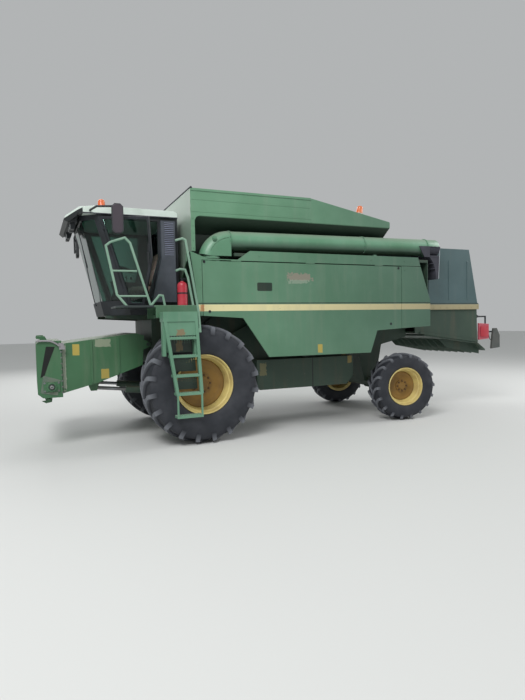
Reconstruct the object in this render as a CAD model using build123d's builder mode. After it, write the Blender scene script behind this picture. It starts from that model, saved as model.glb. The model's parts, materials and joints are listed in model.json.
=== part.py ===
from build123d import *
from collections import namedtuple
from math import asin, atan2, cos, degrees, hypot, pi, radians, sin, sqrt, tan
import os

os.makedirs("parts", exist_ok=True)

# A combine harvester with five straw walkers, standing on its wheels without a header.
# Places along the machine are measured forward from the front axle, places across it from
# the middle, to the left, and heights from the ground. All sizes are in millimetres.

FRONT_AXLE_X = 2130
WHEELBASE = 3854
SEAT = 0.3
PIN_GAP = 0.3

# Threshing and separating housing: its side walls, its front mouth and its stepped top.
WALL_Y = 700
HOUSING_FRONT = 620
HOUSING_REAR = -4330
HOUSING_BOTTOM = 1180
HOUSING_TAIL_BOTTOM = 1480
CAB_BED_Z = 1960
TANK_BED_Z = 2400
DECK_Z = 2880
TANK_FRONT = 110
TANK_REAR = -1930

# Feeder pivot shaft ahead of the mouth, and the beams that carry the front of the cab.
FEEDER_PIVOT_X = 680
FEEDER_PIVOT_Z = 1500
PIVOT_R = 28
PIVOT_EAR_Y = 650
PIVOT_EAR_T = 30
PIVOT_OUT_Y = 715
CAB_BEAM_Y = 500
CAB_BEAM_T = 80
CAB_BEAM_FRONT = 1290

# Cleaning shoe housing between the wheels.
SHOE_Y = 900
SHOE_FRONT = -1080
SHOE_REAR = -2980
SHOE_BOTTOM = 670

# Side panels: a fixed trim along the top and front, a lid that lifts, a fixed rear panel.
PANEL_Y = 1400
PANEL_T = 25
HINGE_Z = 2752
HINGE_OUT = 2
PANEL_GAP = 8
DECK_T = 25
BULKHEAD_T = 15

# Grain tank, with the engine hood behind it in the same line.
TANK_Y = 1300
TANK_TOP = 3830
TANK_SIDE_BOTTOM = 3430
TANK_NECK_Y = 980
TANK_NECK_Z = 3200
TANK_FLOOR_Y = 520
TANK_FLOOR_TOP = 2780
TANK_WALL = 30
HOOD_REAR = -3520
HOOD_REAR_TOP = 3530

# Straw hood behind the side panels, and the chopper under it.
STRAW_Y = 1000
STRAW_FRONT = -3800
STRAW_TOP = 3170
STRAW_WALL = 30

# Cab shell.
CAB_Y = 850
CAB_WALL = 50
CAB_FLOOR_Z = CAB_BED_Z
CAB_REAR = 200
GLASS_T = 8

# Unloading auger: a turning elbow over a fixed base, and the tube along the left side.
AUGER_X = -215
AUGER_Y = 1218
AUGER_R = 152
AUGER_Z = 3075
AUGER_RISE = 50
AUGER_LENGTH = 4370

# Wheels. Lugs are set in two rows, each bar swept back from the middle of the tread.
Wheel = namedtuple("Wheel", "tyre_r width rim_r lugs lug_h lug_w sweep dish sides")
FRONT_WHEEL = Wheel(895, 620, 446, 20, 46, 74, 200, 190, 16)
REAR_WHEEL = Wheel(603, 400, 337, 18, 32, 58, 130, 150, 16)
FRONT_WHEEL_Y = 1190
REAR_WHEEL_Y = 1200
KINGPIN_Y = 900
REAR_STEER = -8
BEAD = 0.80
TREAD = 0.82
LUG_REACH = 0.92
BEAD_LAND = 12
DISC_T = 20


# Lift cylinders: where each barrel is pinned on the axle and each rod on the feeder.
LIFT_Y = 480
LIFT_FOOT = (160, 700)
LIFT_EYE = (1500, 850)
LUG_IN = 30
LUG_T = 20
LUG_R = 45
LUG_CLEAR = 90


def disc_inner(wheel):
    """Distance from a wheel's middle plane to the inner face of its disc."""
    return BEAD * wheel.width / 2 - wheel.dish - DISC_T


def side(y):
    """Upright plane along the machine: x forward of the front axle, y up, normal to the right."""
    return Plane(origin=(FRONT_AXLE_X, y, 0), x_dir=(1, 0, 0), z_dir=(0, -1, 0))


def level(z):
    """Plan plane: x forward of the front axle, y to the left, normal up."""
    return Plane(origin=(FRONT_AXLE_X, 0, z), x_dir=(1, 0, 0), z_dir=(0, 0, 1))


def across(x):
    """Upright plane across the machine: x to the left, y up, normal forward."""
    return Plane(origin=(FRONT_AXLE_X + x, 0, 0), x_dir=(0, 1, 0), z_dir=(1, 0, 0))


def tube_run(radius, *points):
    """Round-looking bar bent through a list of places forward, to the left and up."""
    route = [Vector(FRONT_AXLE_X + x, y, z) for x, y, z in points]
    with BuildPart() as bar:
        with BuildLine() as path:
            Polyline(*route)
        with BuildSketch(Plane(origin=route[0], z_dir=route[1] - route[0])):
            RegularPolygon(radius, 8, major_radius=False, rotation=180 / 8)
        sweep(path=path.line, transition=Transition.RIGHT)
    return bar.part


def flat_ring(place, outline, turn, steps):
    """Ring of flat facets about a plane's normal, from (radius, distance) points of its section."""
    half_turn = radians(turn / 2)
    reach = max(radius for radius, _ in outline) * tan(half_turn)
    with BuildPart() as sector:
        with BuildSketch(Plane.XZ):
            Polygon(*outline)
        extrude(amount=reach, both=True)
        for hand in (1, -1):
            flank = Plane(
                origin=(0, 0, 0), x_dir=(0, 0, 1), z_dir=(-sin(half_turn), hand * cos(half_turn), 0)
            )
            split(bisect_by=flank, keep=Keep.BOTTOM)
    with BuildPart() as whole:
        with Locations(*[place * Location((0, 0, 0), (0, 0, (step + 0.5) * turn)) for step in range(steps)]):
            add(sector.part)
    return whole.part


# Separator housing: closed side walls from the front mouth to the straw outlet.
with BuildPart() as housing:
    with BuildSketch(side(WALL_Y)):
        Polygon(
            (HOUSING_FRONT, HOUSING_BOTTOM),
            (HOUSING_FRONT, CAB_BED_Z),
            (TANK_FRONT, CAB_BED_Z),
            (TANK_FRONT, TANK_BED_Z),
            (TANK_REAR, TANK_BED_Z),
            (TANK_REAR, DECK_Z),
            (HOUSING_REAR, DECK_Z),
            (HOUSING_REAR, HOUSING_TAIL_BOTTOM),
            (SHOE_REAR, HOUSING_BOTTOM),
        )
    extrude(amount=2 * WALL_Y)
    for y in (PIVOT_EAR_Y, PIVOT_EAR_T - PIVOT_EAR_Y):
        with BuildSketch(side(y)):
            Polygon(
                (HOUSING_FRONT, FEEDER_PIVOT_Z + 2 * PIVOT_R),
                (FEEDER_PIVOT_X, FEEDER_PIVOT_Z + PIVOT_R),
                (FEEDER_PIVOT_X + PIVOT_R, FEEDER_PIVOT_Z),
                (FEEDER_PIVOT_X, FEEDER_PIVOT_Z - PIVOT_R),
                (HOUSING_FRONT, FEEDER_PIVOT_Z - 2 * PIVOT_R),
            )
        extrude(amount=PIVOT_EAR_T)
    with BuildSketch(side(PIVOT_OUT_Y)):
        with Locations((FEEDER_PIVOT_X, FEEDER_PIVOT_Z)):
            Circle(PIVOT_R)
    extrude(amount=2 * PIVOT_OUT_Y)
    for y in (CAB_BEAM_Y + CAB_BEAM_T, -CAB_BEAM_Y):
        with BuildSketch(side(y)):
            Polygon(
                (HOUSING_FRONT, CAB_BED_Z),
                (CAB_BEAM_FRONT, CAB_BED_Z),
                (CAB_BEAM_FRONT, CAB_BED_Z - CAB_BEAM_T / 2),
                (HOUSING_FRONT, CAB_BED_Z - CAB_BEAM_T),
            )
        extrude(amount=CAB_BEAM_T)
housing.part.label = "separator_housing"
export_step(housing.part, "parts/separator_housing.step")

# Cleaning shoe housing, wider than the separator, with sloped ends underneath.
SHOE_FRONT_RISE = 60
SHOE_REAR_RISE = 140
with BuildPart() as shoe:
    with BuildSketch(side(SHOE_Y)):
        Polygon(
            (SHOE_FRONT, HOUSING_BOTTOM),
            (SHOE_FRONT, SHOE_BOTTOM + SHOE_FRONT_RISE),
            (SHOE_FRONT - SHOE_FRONT_RISE, SHOE_BOTTOM),
            (SHOE_REAR + SHOE_REAR_RISE, SHOE_BOTTOM),
            (SHOE_REAR, SHOE_BOTTOM + SHOE_REAR_RISE),
            (SHOE_REAR, HOUSING_BOTTOM),
        )
    extrude(amount=2 * SHOE_Y)
shoe.part.label = "cleaning_shoe_housing"
export_step(shoe.part, "parts/cleaning_shoe_housing.step")

# Front axle: box beam with two saddles up to the housing and a final drive at each end.
FRONT_BEAM = 220
SADDLE_Y = 560
SADDLE_T = 120
FINAL_DRIVE_R = 210
FINAL_DRIVE_Y = 840
FRONT_HUB_R = 130
FRONT_HUB_Y = FRONT_WHEEL_Y + disc_inner(FRONT_WHEEL) - SEAT
with BuildPart() as front_axle:
    with BuildSketch(side(FINAL_DRIVE_Y)):
        with Locations((0, FRONT_WHEEL.tyre_r)):
            Rectangle(FRONT_BEAM, FRONT_BEAM)
    extrude(amount=2 * FINAL_DRIVE_Y)
    for y in (SADDLE_Y + SADDLE_T / 2, -SADDLE_Y + SADDLE_T / 2):
        with BuildSketch(side(y)):
            Polygon(
                (-FRONT_BEAM, HOUSING_BOTTOM),
                (FRONT_BEAM, HOUSING_BOTTOM),
                (FRONT_BEAM / 2, FRONT_WHEEL.tyre_r),
                (-FRONT_BEAM / 2, FRONT_WHEEL.tyre_r),
            )
        extrude(amount=SADDLE_T)
    for y in (FINAL_DRIVE_Y, -FINAL_DRIVE_Y + SADDLE_T):
        with BuildSketch(side(y)):
            with Locations((0, FRONT_WHEEL.tyre_r)):
                RegularPolygon(FINAL_DRIVE_R, 12)
        extrude(amount=SADDLE_T)
    with BuildSketch(side(FRONT_HUB_Y)):
        with Locations((0, FRONT_WHEEL.tyre_r)):
            Circle(FRONT_HUB_R)
    extrude(amount=2 * FRONT_HUB_Y)
    for centre in (LIFT_Y, -LIFT_Y):
        for y in (centre + LUG_IN + LUG_T, centre - LUG_IN):
            with BuildSketch(side(y)):
                Polygon(
                    (FRONT_BEAM / 2, FRONT_WHEEL.tyre_r),
                    (LIFT_FOOT[0] + LUG_R, LIFT_FOOT[1] + LUG_R),
                    (LIFT_FOOT[0] + LUG_R, LIFT_FOOT[1] - LUG_R),
                    (LIFT_FOOT[0] - LUG_R, LIFT_FOOT[1] - LUG_R),
                    (0, FRONT_WHEEL.tyre_r - FRONT_BEAM / 2),
                )
            extrude(amount=LUG_T)
front_axle.part.label = "front_axle"
export_step(front_axle.part, "parts/front_axle.step")

# Rear axle: a beam under a pivot bracket, with an upright eye for a kingpin at each end.
REAR_BEAM = 150
BEAM_TIP = 90
BEAM_TIP_Y = 780
KINGPIN_R = 25
EYE_BOSS_R = 52
EYE_BOSS_H = 160
BRACKET_Y = 180
BRACKET_TOP = 300
BRACKET_LEG = 130
tail_slope = (HOUSING_TAIL_BOTTOM - HOUSING_BOTTOM) / (SHOE_REAR - HOUSING_REAR)
housing_bottom_at_axle = HOUSING_BOTTOM + tail_slope * (WHEELBASE + SHOE_REAR)
with BuildPart() as rear_axle:
    with BuildSketch(level(REAR_WHEEL.tyre_r - REAR_BEAM / 2)):
        Polygon(
            (-WHEELBASE + REAR_BEAM / 2, -BEAM_TIP_Y),
            (-WHEELBASE + REAR_BEAM / 2, BEAM_TIP_Y),
            (-WHEELBASE + BEAM_TIP / 2, KINGPIN_Y),
            (-WHEELBASE - BEAM_TIP / 2, KINGPIN_Y),
            (-WHEELBASE - REAR_BEAM / 2, BEAM_TIP_Y),
            (-WHEELBASE - REAR_BEAM / 2, -BEAM_TIP_Y),
            (-WHEELBASE - BEAM_TIP / 2, -KINGPIN_Y),
            (-WHEELBASE + BEAM_TIP / 2, -KINGPIN_Y),
        )
    extrude(amount=REAR_BEAM)
    with BuildSketch(level(REAR_WHEEL.tyre_r - EYE_BOSS_H / 2)):
        with Locations((-WHEELBASE, KINGPIN_Y), (-WHEELBASE, -KINGPIN_Y)):
            RegularPolygon(EYE_BOSS_R, 16)
    extrude(amount=EYE_BOSS_H)
    with BuildSketch(level(REAR_WHEEL.tyre_r - EYE_BOSS_H / 2)):
        with Locations((-WHEELBASE, KINGPIN_Y), (-WHEELBASE, -KINGPIN_Y)):
            Circle(KINGPIN_R + PIN_GAP)
    extrude(amount=EYE_BOSS_H, mode=Mode.SUBTRACT)
    with BuildSketch(side(BRACKET_Y)):
        Polygon(
            (-WHEELBASE + BRACKET_TOP, housing_bottom_at_axle - BRACKET_TOP * tail_slope),
            (-WHEELBASE - BRACKET_TOP, housing_bottom_at_axle + BRACKET_TOP * tail_slope),
            (-WHEELBASE - BRACKET_LEG, REAR_WHEEL.tyre_r),
            (-WHEELBASE + BRACKET_LEG, REAR_WHEEL.tyre_r),
        )
    extrude(amount=2 * BRACKET_Y)
rear_axle.part.label = "rear_axle"
export_step(rear_axle.part, "parts/rear_axle.step")

# Side drive behind the left lid: pulleys on the housing wall and the belts between them.
Pulley = namedtuple("Pulley", "x z r y")
PULLEYS = (
    Pulley(-300, 1640, 170, 725),
    Pulley(-1050, 2060, 250, 725),
    Pulley(-2050, 1500, 300, 775),
    Pulley(-2760, 2240, 190, 725),
    Pulley(-3480, 1960, 240, 775),
)
BELTS = ((0, 1, 725), (1, 2, 775), (2, 4, 825), (1, 3, 725))
PULLEY_T = 42
PULLEY_SIDES = 12
BELT_T = 14
BELT_W = 34
PULLEY_SHAFT_R = 26
with BuildPart() as side_drive:
    for pulley in PULLEYS:
        with BuildSketch(side(pulley.y + 2 * PULLEY_T)):
            with Locations((pulley.x, pulley.z)):
                RegularPolygon(pulley.r, PULLEY_SIDES)
                RegularPolygon(pulley.r - 45, PULLEY_SIDES, mode=Mode.SUBTRACT)
                Rectangle(2 * pulley.r - 60, 60)
                Rectangle(60, 2 * pulley.r - 60)
                RegularPolygon(60, 6)
        extrude(amount=pulley.y + 2 * PULLEY_T - WALL_Y - SEAT - 30)
        with BuildSketch(side(pulley.y + 2 * PULLEY_T + 20)):
            with Locations((pulley.x, pulley.z)):
                RegularPolygon(PULLEY_SHAFT_R, 6)
        extrude(amount=pulley.y + 2 * PULLEY_T + 20 - WALL_Y - SEAT)
    for first, second, y in BELTS:
        one = PULLEYS[first]
        two = PULLEYS[second]
        with BuildSketch(side(y + BELT_W / 2)):
            for pulley in (one, two):
                with Locations((pulley.x, pulley.z)):
                    RegularPolygon(pulley.r + BELT_T - 2, PULLEY_SIDES)
            make_hull()
            with BuildSketch(mode=Mode.SUBTRACT):
                for pulley in (one, two):
                    with Locations((pulley.x, pulley.z)):
                        RegularPolygon(pulley.r - 2, PULLEY_SIDES)
                make_hull()
        extrude(amount=BELT_W)
side_drive.part.label = "side_drive"
export_step(side_drive.part, "parts/side_drive.step")

# Side decks: the roof of each side bay, with a bulkhead at its front and at its rear.
BAY_FRONT = 10
BAY_REAR = -4300
BAY_FLOOR_Z = 1950
BAY_REAR_FOOT_Z = 1720
AUGER_BAY = -545
inner = PANEL_Y - PANEL_T
floor_slope = (TANK_FLOOR_TOP - TANK_BED_Z) / (TANK_NECK_Y - TANK_FLOOR_Y)
with BuildPart() as side_decks:
    for hand in (1, -1):
        with BuildSketch(level(DECK_Z - DECK_T)):
            Polygon(
                (AUGER_BAY, hand * inner),
                (BAY_REAR, hand * inner),
                (BAY_REAR, hand * WALL_Y),
                (TANK_REAR, hand * WALL_Y),
                (TANK_REAR, hand * TANK_NECK_Y),
                (AUGER_BAY, hand * TANK_NECK_Y),
            )
        extrude(amount=DECK_T)
        with BuildSketch(across(BAY_REAR)):
            with Locations((hand * (WALL_Y + inner) / 2, BAY_REAR_FOOT_Z)):
                Rectangle(
                    inner - WALL_Y, DECK_Z - DECK_T - BAY_REAR_FOOT_Z, align=(Align.CENTER, Align.MIN)
                )
        extrude(amount=BULKHEAD_T)
        with BuildSketch(across(BAY_FRONT - BULKHEAD_T)):
            Polygon(
                (hand * WALL_Y, BAY_FLOOR_Z),
                (hand * inner, BAY_FLOOR_Z),
                (hand * inner, DECK_Z - DECK_T),
                (hand * TANK_NECK_Y, DECK_Z - DECK_T),
                (hand * TANK_NECK_Y, TANK_FLOOR_TOP),
                (hand * WALL_Y, TANK_BED_Z + floor_slope * (WALL_Y - TANK_FLOOR_Y)),
            )
        extrude(amount=BULKHEAD_T)
        with BuildSketch(level(DECK_Z - 2 * DECK_T)):
            with Locations(((AUGER_BAY + BAY_REAR) / 2, hand * (inner - DECK_T))):
                Rectangle(AUGER_BAY - BAY_REAR, 2 * DECK_T)
        extrude(amount=DECK_T)
side_decks.part.label = "side_decks"
export_step(side_decks.part, "parts/side_decks.step")

# Trim along the top and front edge of each side, notched on the left under the elbow.
TRIM_TOP = 2915
TRIM_BOTTOM = HINGE_Z + PANEL_GAP
TRIM_REAR_TOP = -4052
TRIM_REAR_BOTTOM = -4108
TRIM_FRONT_TOP = 160
TRIM_FRONT_FOOT = 30
TRIM_FOOT_Z = 1923
LID_FRONT = -20
LID_HINGES = (-560, -1850, -3200)
LID_KNUCKLE_R = 7
LID_KNUCKLE_W = 80
HINGE_TAB = 8
NOTCH_FRONT = -110
NOTCH_REAR = -590
NOTCH_END = -795
NOTCH_Z = 2775
with BuildPart() as trims:
    for hand, notch in ((1, NOTCH_Z), (-1, TRIM_TOP - PANEL_T)):
        with BuildSketch(side(PANEL_Y if hand > 0 else PANEL_T - PANEL_Y)):
            Polygon(
                (TRIM_FRONT_TOP, DECK_Z),
                (NOTCH_FRONT, notch),
                (NOTCH_REAR, notch),
                (NOTCH_END, TRIM_TOP),
                (TRIM_REAR_TOP, TRIM_TOP),
                (TRIM_REAR_BOTTOM, TRIM_BOTTOM),
                (LID_FRONT + PANEL_GAP, TRIM_BOTTOM),
                (LID_FRONT + PANEL_GAP, TRIM_FOOT_Z),
                (TRIM_FRONT_FOOT, TRIM_FOOT_Z),
            )
        extrude(amount=PANEL_T)
        for x in LID_HINGES:
            with BuildSketch(across(x)):
                with Locations((hand * (PANEL_Y + HINGE_OUT), HINGE_Z)):
                    RegularPolygon(LID_KNUCKLE_R, 8)
                    with Locations((-hand * HINGE_TAB / 2, LID_KNUCKLE_R)):
                        Rectangle(HINGE_TAB, 2 * LID_KNUCKLE_R)
            extrude(amount=LID_KNUCKLE_W)
trims.part.label = "side_trims"
export_step(trims.part, "parts/side_trims.step")

# Fixed rear side panels, over the rear wheels.
LID_REAR = -3680
REAR_PANEL_END = -4330
REAR_PANEL_FOOT = 1683
LID_REAR_FOOT = 1656
with BuildPart() as rear_panels:
    for y in (PANEL_Y, PANEL_T - PANEL_Y):
        with BuildSketch(side(y)):
            Polygon(
                (LID_REAR - PANEL_GAP, TRIM_BOTTOM - PANEL_GAP),
                (TRIM_REAR_BOTTOM - 4, TRIM_BOTTOM - PANEL_GAP),
                (REAR_PANEL_END, 2150),
                (REAR_PANEL_END, REAR_PANEL_FOOT),
                (LID_REAR - PANEL_GAP, LID_REAR_FOOT),
            )
        extrude(amount=PANEL_T)
rear_panels.part.label = "rear_side_panels"
export_step(rear_panels.part, "parts/rear_side_panels.step")

# Side lids, hung from their top edge, with the cut-out over the front wheel.
for name, hand in (("shield_left", 1), ("shield_right", -1)):
    with BuildPart() as shield:
        with BuildSketch(side(PANEL_Y if hand > 0 else PANEL_T - PANEL_Y)):
            Polygon(
                (LID_FRONT, HINGE_Z - PANEL_GAP),
                (LID_FRONT, TRIM_FOOT_Z),
                (-660, 1880),
                (-1090, 1257),
                (-3020, 1250),
                (-3160, 1630),
                (LID_REAR, LID_REAR_FOOT),
                (LID_REAR, HINGE_Z - PANEL_GAP),
            )
        extrude(amount=PANEL_T)
        for x in LID_HINGES:
            with BuildSketch(across(x - SEAT)):
                with Locations((hand * (PANEL_Y + HINGE_OUT), HINGE_Z)):
                    Circle(LID_KNUCKLE_R)
                    with Locations((-hand * HINGE_TAB / 2, -LID_KNUCKLE_R)):
                        Rectangle(HINGE_TAB, 2 * LID_KNUCKLE_R)
            extrude(amount=-LID_KNUCKLE_W)
    shield.part.label = name
    export_step(shield.part, f"parts/{name}.step")

# Grain tank: an open hopper that narrows to a neck beside the auger and then to its floor.
# Its front wall runs down as a post at each side, and a folded rim runs round its top.
POST_W = 62
POST_CORNER = 75
POST_GAP = 15
RIM_OUT = 10
RIM_H = 35
with BuildPart() as tank:
    with BuildSketch(across(TANK_REAR)):
        Polygon(
            (TANK_Y, TANK_TOP),
            (TANK_Y, TANK_SIDE_BOTTOM),
            (TANK_NECK_Y, TANK_NECK_Z),
            (TANK_NECK_Y, TANK_FLOOR_TOP),
            (TANK_FLOOR_Y, TANK_BED_Z),
            (-TANK_FLOOR_Y, TANK_BED_Z),
            (-TANK_NECK_Y, TANK_FLOOR_TOP),
            (-TANK_NECK_Y, TANK_NECK_Z),
            (-TANK_Y, TANK_SIDE_BOTTOM),
            (-TANK_Y, TANK_TOP),
        )
    extrude(amount=TANK_FRONT - TANK_REAR)
    with BuildSketch(across(TANK_REAR + TANK_WALL)):
        Polygon(
            (TANK_Y - TANK_WALL, TANK_TOP),
            (TANK_Y - TANK_WALL, TANK_SIDE_BOTTOM + TANK_WALL / 2),
            (TANK_NECK_Y - TANK_WALL, TANK_NECK_Z + TANK_WALL / 2),
            (TANK_NECK_Y - TANK_WALL, TANK_FLOOR_TOP + TANK_WALL / 2),
            (TANK_FLOOR_Y - TANK_WALL / 2, TANK_BED_Z + TANK_WALL),
            (-TANK_FLOOR_Y + TANK_WALL / 2, TANK_BED_Z + TANK_WALL),
            (-TANK_NECK_Y + TANK_WALL, TANK_FLOOR_TOP + TANK_WALL / 2),
            (-TANK_NECK_Y + TANK_WALL, TANK_NECK_Z + TANK_WALL / 2),
            (-TANK_Y + TANK_WALL, TANK_SIDE_BOTTOM + TANK_WALL / 2),
            (-TANK_Y + TANK_WALL, TANK_TOP),
        )
    extrude(amount=TANK_FRONT - TANK_REAR - 2 * TANK_WALL, mode=Mode.SUBTRACT)
    with BuildSketch(across(TANK_FRONT - POST_W)):
        for hand in (1, -1):
            Polygon(
                (hand * TANK_Y, TANK_SIDE_BOTTOM),
                (hand * TANK_Y, DECK_Z + POST_GAP),
                (hand * TANK_NECK_Y, DECK_Z + POST_GAP),
                (hand * TANK_NECK_Y, TANK_NECK_Z),
            )
    extrude(amount=POST_W)
    for y in (TANK_Y, TANK_WALL - TANK_Y):
        with BuildSketch(side(y)):
            Polygon(
                (TANK_FRONT - POST_W, TANK_SIDE_BOTTOM),
                (TANK_FRONT - POST_W - POST_CORNER, TANK_SIDE_BOTTOM),
                (TANK_FRONT - POST_W - POST_CORNER / 3, TANK_SIDE_BOTTOM - POST_CORNER / 3),
                (TANK_FRONT - POST_W, TANK_SIDE_BOTTOM - POST_CORNER),
            )
        extrude(amount=TANK_WALL)
    with BuildSketch(level(TANK_TOP - RIM_H)):
        with Locations(((TANK_FRONT + TANK_REAR) / 2, 0)):
            Rectangle(TANK_FRONT - TANK_REAR, 2 * (TANK_Y + RIM_OUT))
            Rectangle(TANK_FRONT - TANK_REAR - 2 * TANK_WALL, 2 * (TANK_Y - TANK_WALL), mode=Mode.SUBTRACT)
    extrude(amount=RIM_H)
tank.part.label = "grain_tank"
export_step(tank.part, "parts/grain_tank.step")

# Engine hood behind the tank, open below and at the rear, its roof falling to the rear.
with BuildPart() as hood:
    with BuildSketch(across(HOOD_REAR)):
        Polygon(
            (TANK_Y, TANK_TOP),
            (TANK_Y, TANK_SIDE_BOTTOM),
            (TANK_NECK_Y, TANK_NECK_Z),
            (TANK_NECK_Y, DECK_Z),
            (-TANK_Y, DECK_Z),
            (-TANK_Y, TANK_TOP),
        )
    extrude(amount=TANK_REAR - HOOD_REAR)
    with BuildSketch(across(HOOD_REAR + TANK_WALL)):
        Polygon(
            (TANK_Y - TANK_WALL, TANK_TOP),
            (TANK_Y - TANK_WALL, TANK_SIDE_BOTTOM + TANK_WALL / 2),
            (TANK_NECK_Y - TANK_WALL, TANK_NECK_Z + TANK_WALL / 2),
            (TANK_NECK_Y - TANK_WALL, DECK_Z),
            (-TANK_Y + TANK_WALL, DECK_Z),
            (-TANK_Y + TANK_WALL, TANK_TOP),
        )
    extrude(amount=TANK_REAR - HOOD_REAR - TANK_WALL, mode=Mode.SUBTRACT)
    with BuildSketch(side(TANK_Y)):
        Polygon(
            (TANK_REAR, TANK_TOP),
            (HOOD_REAR, HOOD_REAR_TOP),
            (HOOD_REAR, HOOD_REAR_TOP - TANK_WALL),
            (TANK_REAR, TANK_TOP - TANK_WALL),
        )
    extrude(amount=2 * TANK_Y)
    with BuildSketch(side(TANK_Y)):
        Polygon((TANK_REAR, TANK_TOP), (HOOD_REAR, TANK_TOP), (HOOD_REAR, HOOD_REAR_TOP))
    extrude(amount=2 * TANK_Y, mode=Mode.SUBTRACT)
hood.part.label = "engine_hood"
export_step(hood.part, "parts/engine_hood.step")

# Engine on the deck under the hood: one plain block with its sump narrower than its head.
ENGINE_X = -2700
ENGINE_LENGTH = 1000
ENGINE_W = 620
ENGINE_H = 620
with BuildPart() as engine:
    with BuildSketch(across(ENGINE_X - ENGINE_LENGTH / 2)):
        Polygon(
            (ENGINE_W / 3, DECK_Z),
            (ENGINE_W / 2, DECK_Z + ENGINE_H / 3),
            (ENGINE_W / 2, DECK_Z + ENGINE_H * 0.8),
            (ENGINE_W / 4, DECK_Z + ENGINE_H),
            (-ENGINE_W / 4, DECK_Z + ENGINE_H),
            (-ENGINE_W / 2, DECK_Z + ENGINE_H * 0.8),
            (-ENGINE_W / 2, DECK_Z + ENGINE_H / 3),
            (-ENGINE_W / 3, DECK_Z),
        )
    extrude(amount=ENGINE_LENGTH)
engine.part.label = "engine"
export_step(engine.part, "parts/engine.step")

# Exhaust stack behind the hood on the right, its outlet cut at a slant.
EXHAUST_X = -3655
EXHAUST_Y = -760
EXHAUST_R = 65
SILENCER_R = 105
EXHAUST_TOP = 3950
with BuildPart() as exhaust:
    with BuildSketch(level(DECK_Z)):
        with Locations((EXHAUST_X, EXHAUST_Y)):
            RegularPolygon(SILENCER_R, 20)
    extrude(amount=650)
    with BuildSketch(level(DECK_Z)):
        with Locations((EXHAUST_X, EXHAUST_Y)):
            RegularPolygon(EXHAUST_R, 16)
    extrude(amount=EXHAUST_TOP - DECK_Z)
    with BuildSketch(side(EXHAUST_Y + EXHAUST_R)):
        Polygon(
            (EXHAUST_X - EXHAUST_R, EXHAUST_TOP - 2 * EXHAUST_R),
            (EXHAUST_X + EXHAUST_R, EXHAUST_TOP),
            (EXHAUST_X - EXHAUST_R, EXHAUST_TOP),
        )
    extrude(amount=2 * EXHAUST_R, mode=Mode.SUBTRACT)
exhaust.part.label = "exhaust"
export_step(exhaust.part, "parts/exhaust.step")

# Rotary screen over the radiator: a fixed round shroud on the hood's right side, and
# the shallow drum that turns in it on its hub.
SCREEN_X = -2680
SCREEN_Z = 3300
SCREEN_R = 330
SCREEN_DEPTH = 60
SCREEN_SKIN = 12
SCREEN_SIDES = 32
SCREEN_HUB_R = 50
SHROUD_BACK = 12
SHROUD_WALL = 20
SHROUD_DEPTH = 75
SHROUD_GAP = 12
shroud_r = SCREEN_R + SHROUD_GAP
with BuildPart() as shroud:
    with BuildSketch(side(-TANK_Y)):
        with Locations((SCREEN_X, SCREEN_Z)):
            RegularPolygon(shroud_r + SHROUD_WALL, SCREEN_SIDES, major_radius=False)
    extrude(amount=SHROUD_DEPTH)
    with BuildSketch(side(-TANK_Y - SHROUD_BACK)):
        with Locations((SCREEN_X, SCREEN_Z)):
            RegularPolygon(shroud_r, SCREEN_SIDES, major_radius=False)
    extrude(amount=SHROUD_DEPTH, mode=Mode.SUBTRACT)
shroud.part.label = "screen_shroud"
export_step(shroud.part, "parts/screen_shroud.step")

with BuildPart() as screen:
    with BuildSketch(side(-TANK_Y - SHROUD_BACK - SHROUD_GAP)):
        with Locations((SCREEN_X, SCREEN_Z)):
            RegularPolygon(SCREEN_R, SCREEN_SIDES, major_radius=False)
    extrude(amount=SCREEN_DEPTH)
    with BuildSketch(side(-TANK_Y - SHROUD_BACK - SHROUD_GAP)):
        with Locations((SCREEN_X, SCREEN_Z)):
            RegularPolygon(SCREEN_R - SCREEN_SKIN, SCREEN_SIDES, major_radius=False)
    extrude(amount=SCREEN_DEPTH - SCREEN_SKIN, mode=Mode.SUBTRACT)
    with BuildSketch(side(-TANK_Y - SHROUD_BACK - SEAT)):
        with Locations((SCREEN_X, SCREEN_Z)):
            Circle(SCREEN_HUB_R)
    extrude(amount=SHROUD_GAP - SEAT + SCREEN_DEPTH)
screen.part.label = "rotary_screen"
export_step(screen.part, "parts/rotary_screen.step")

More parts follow.
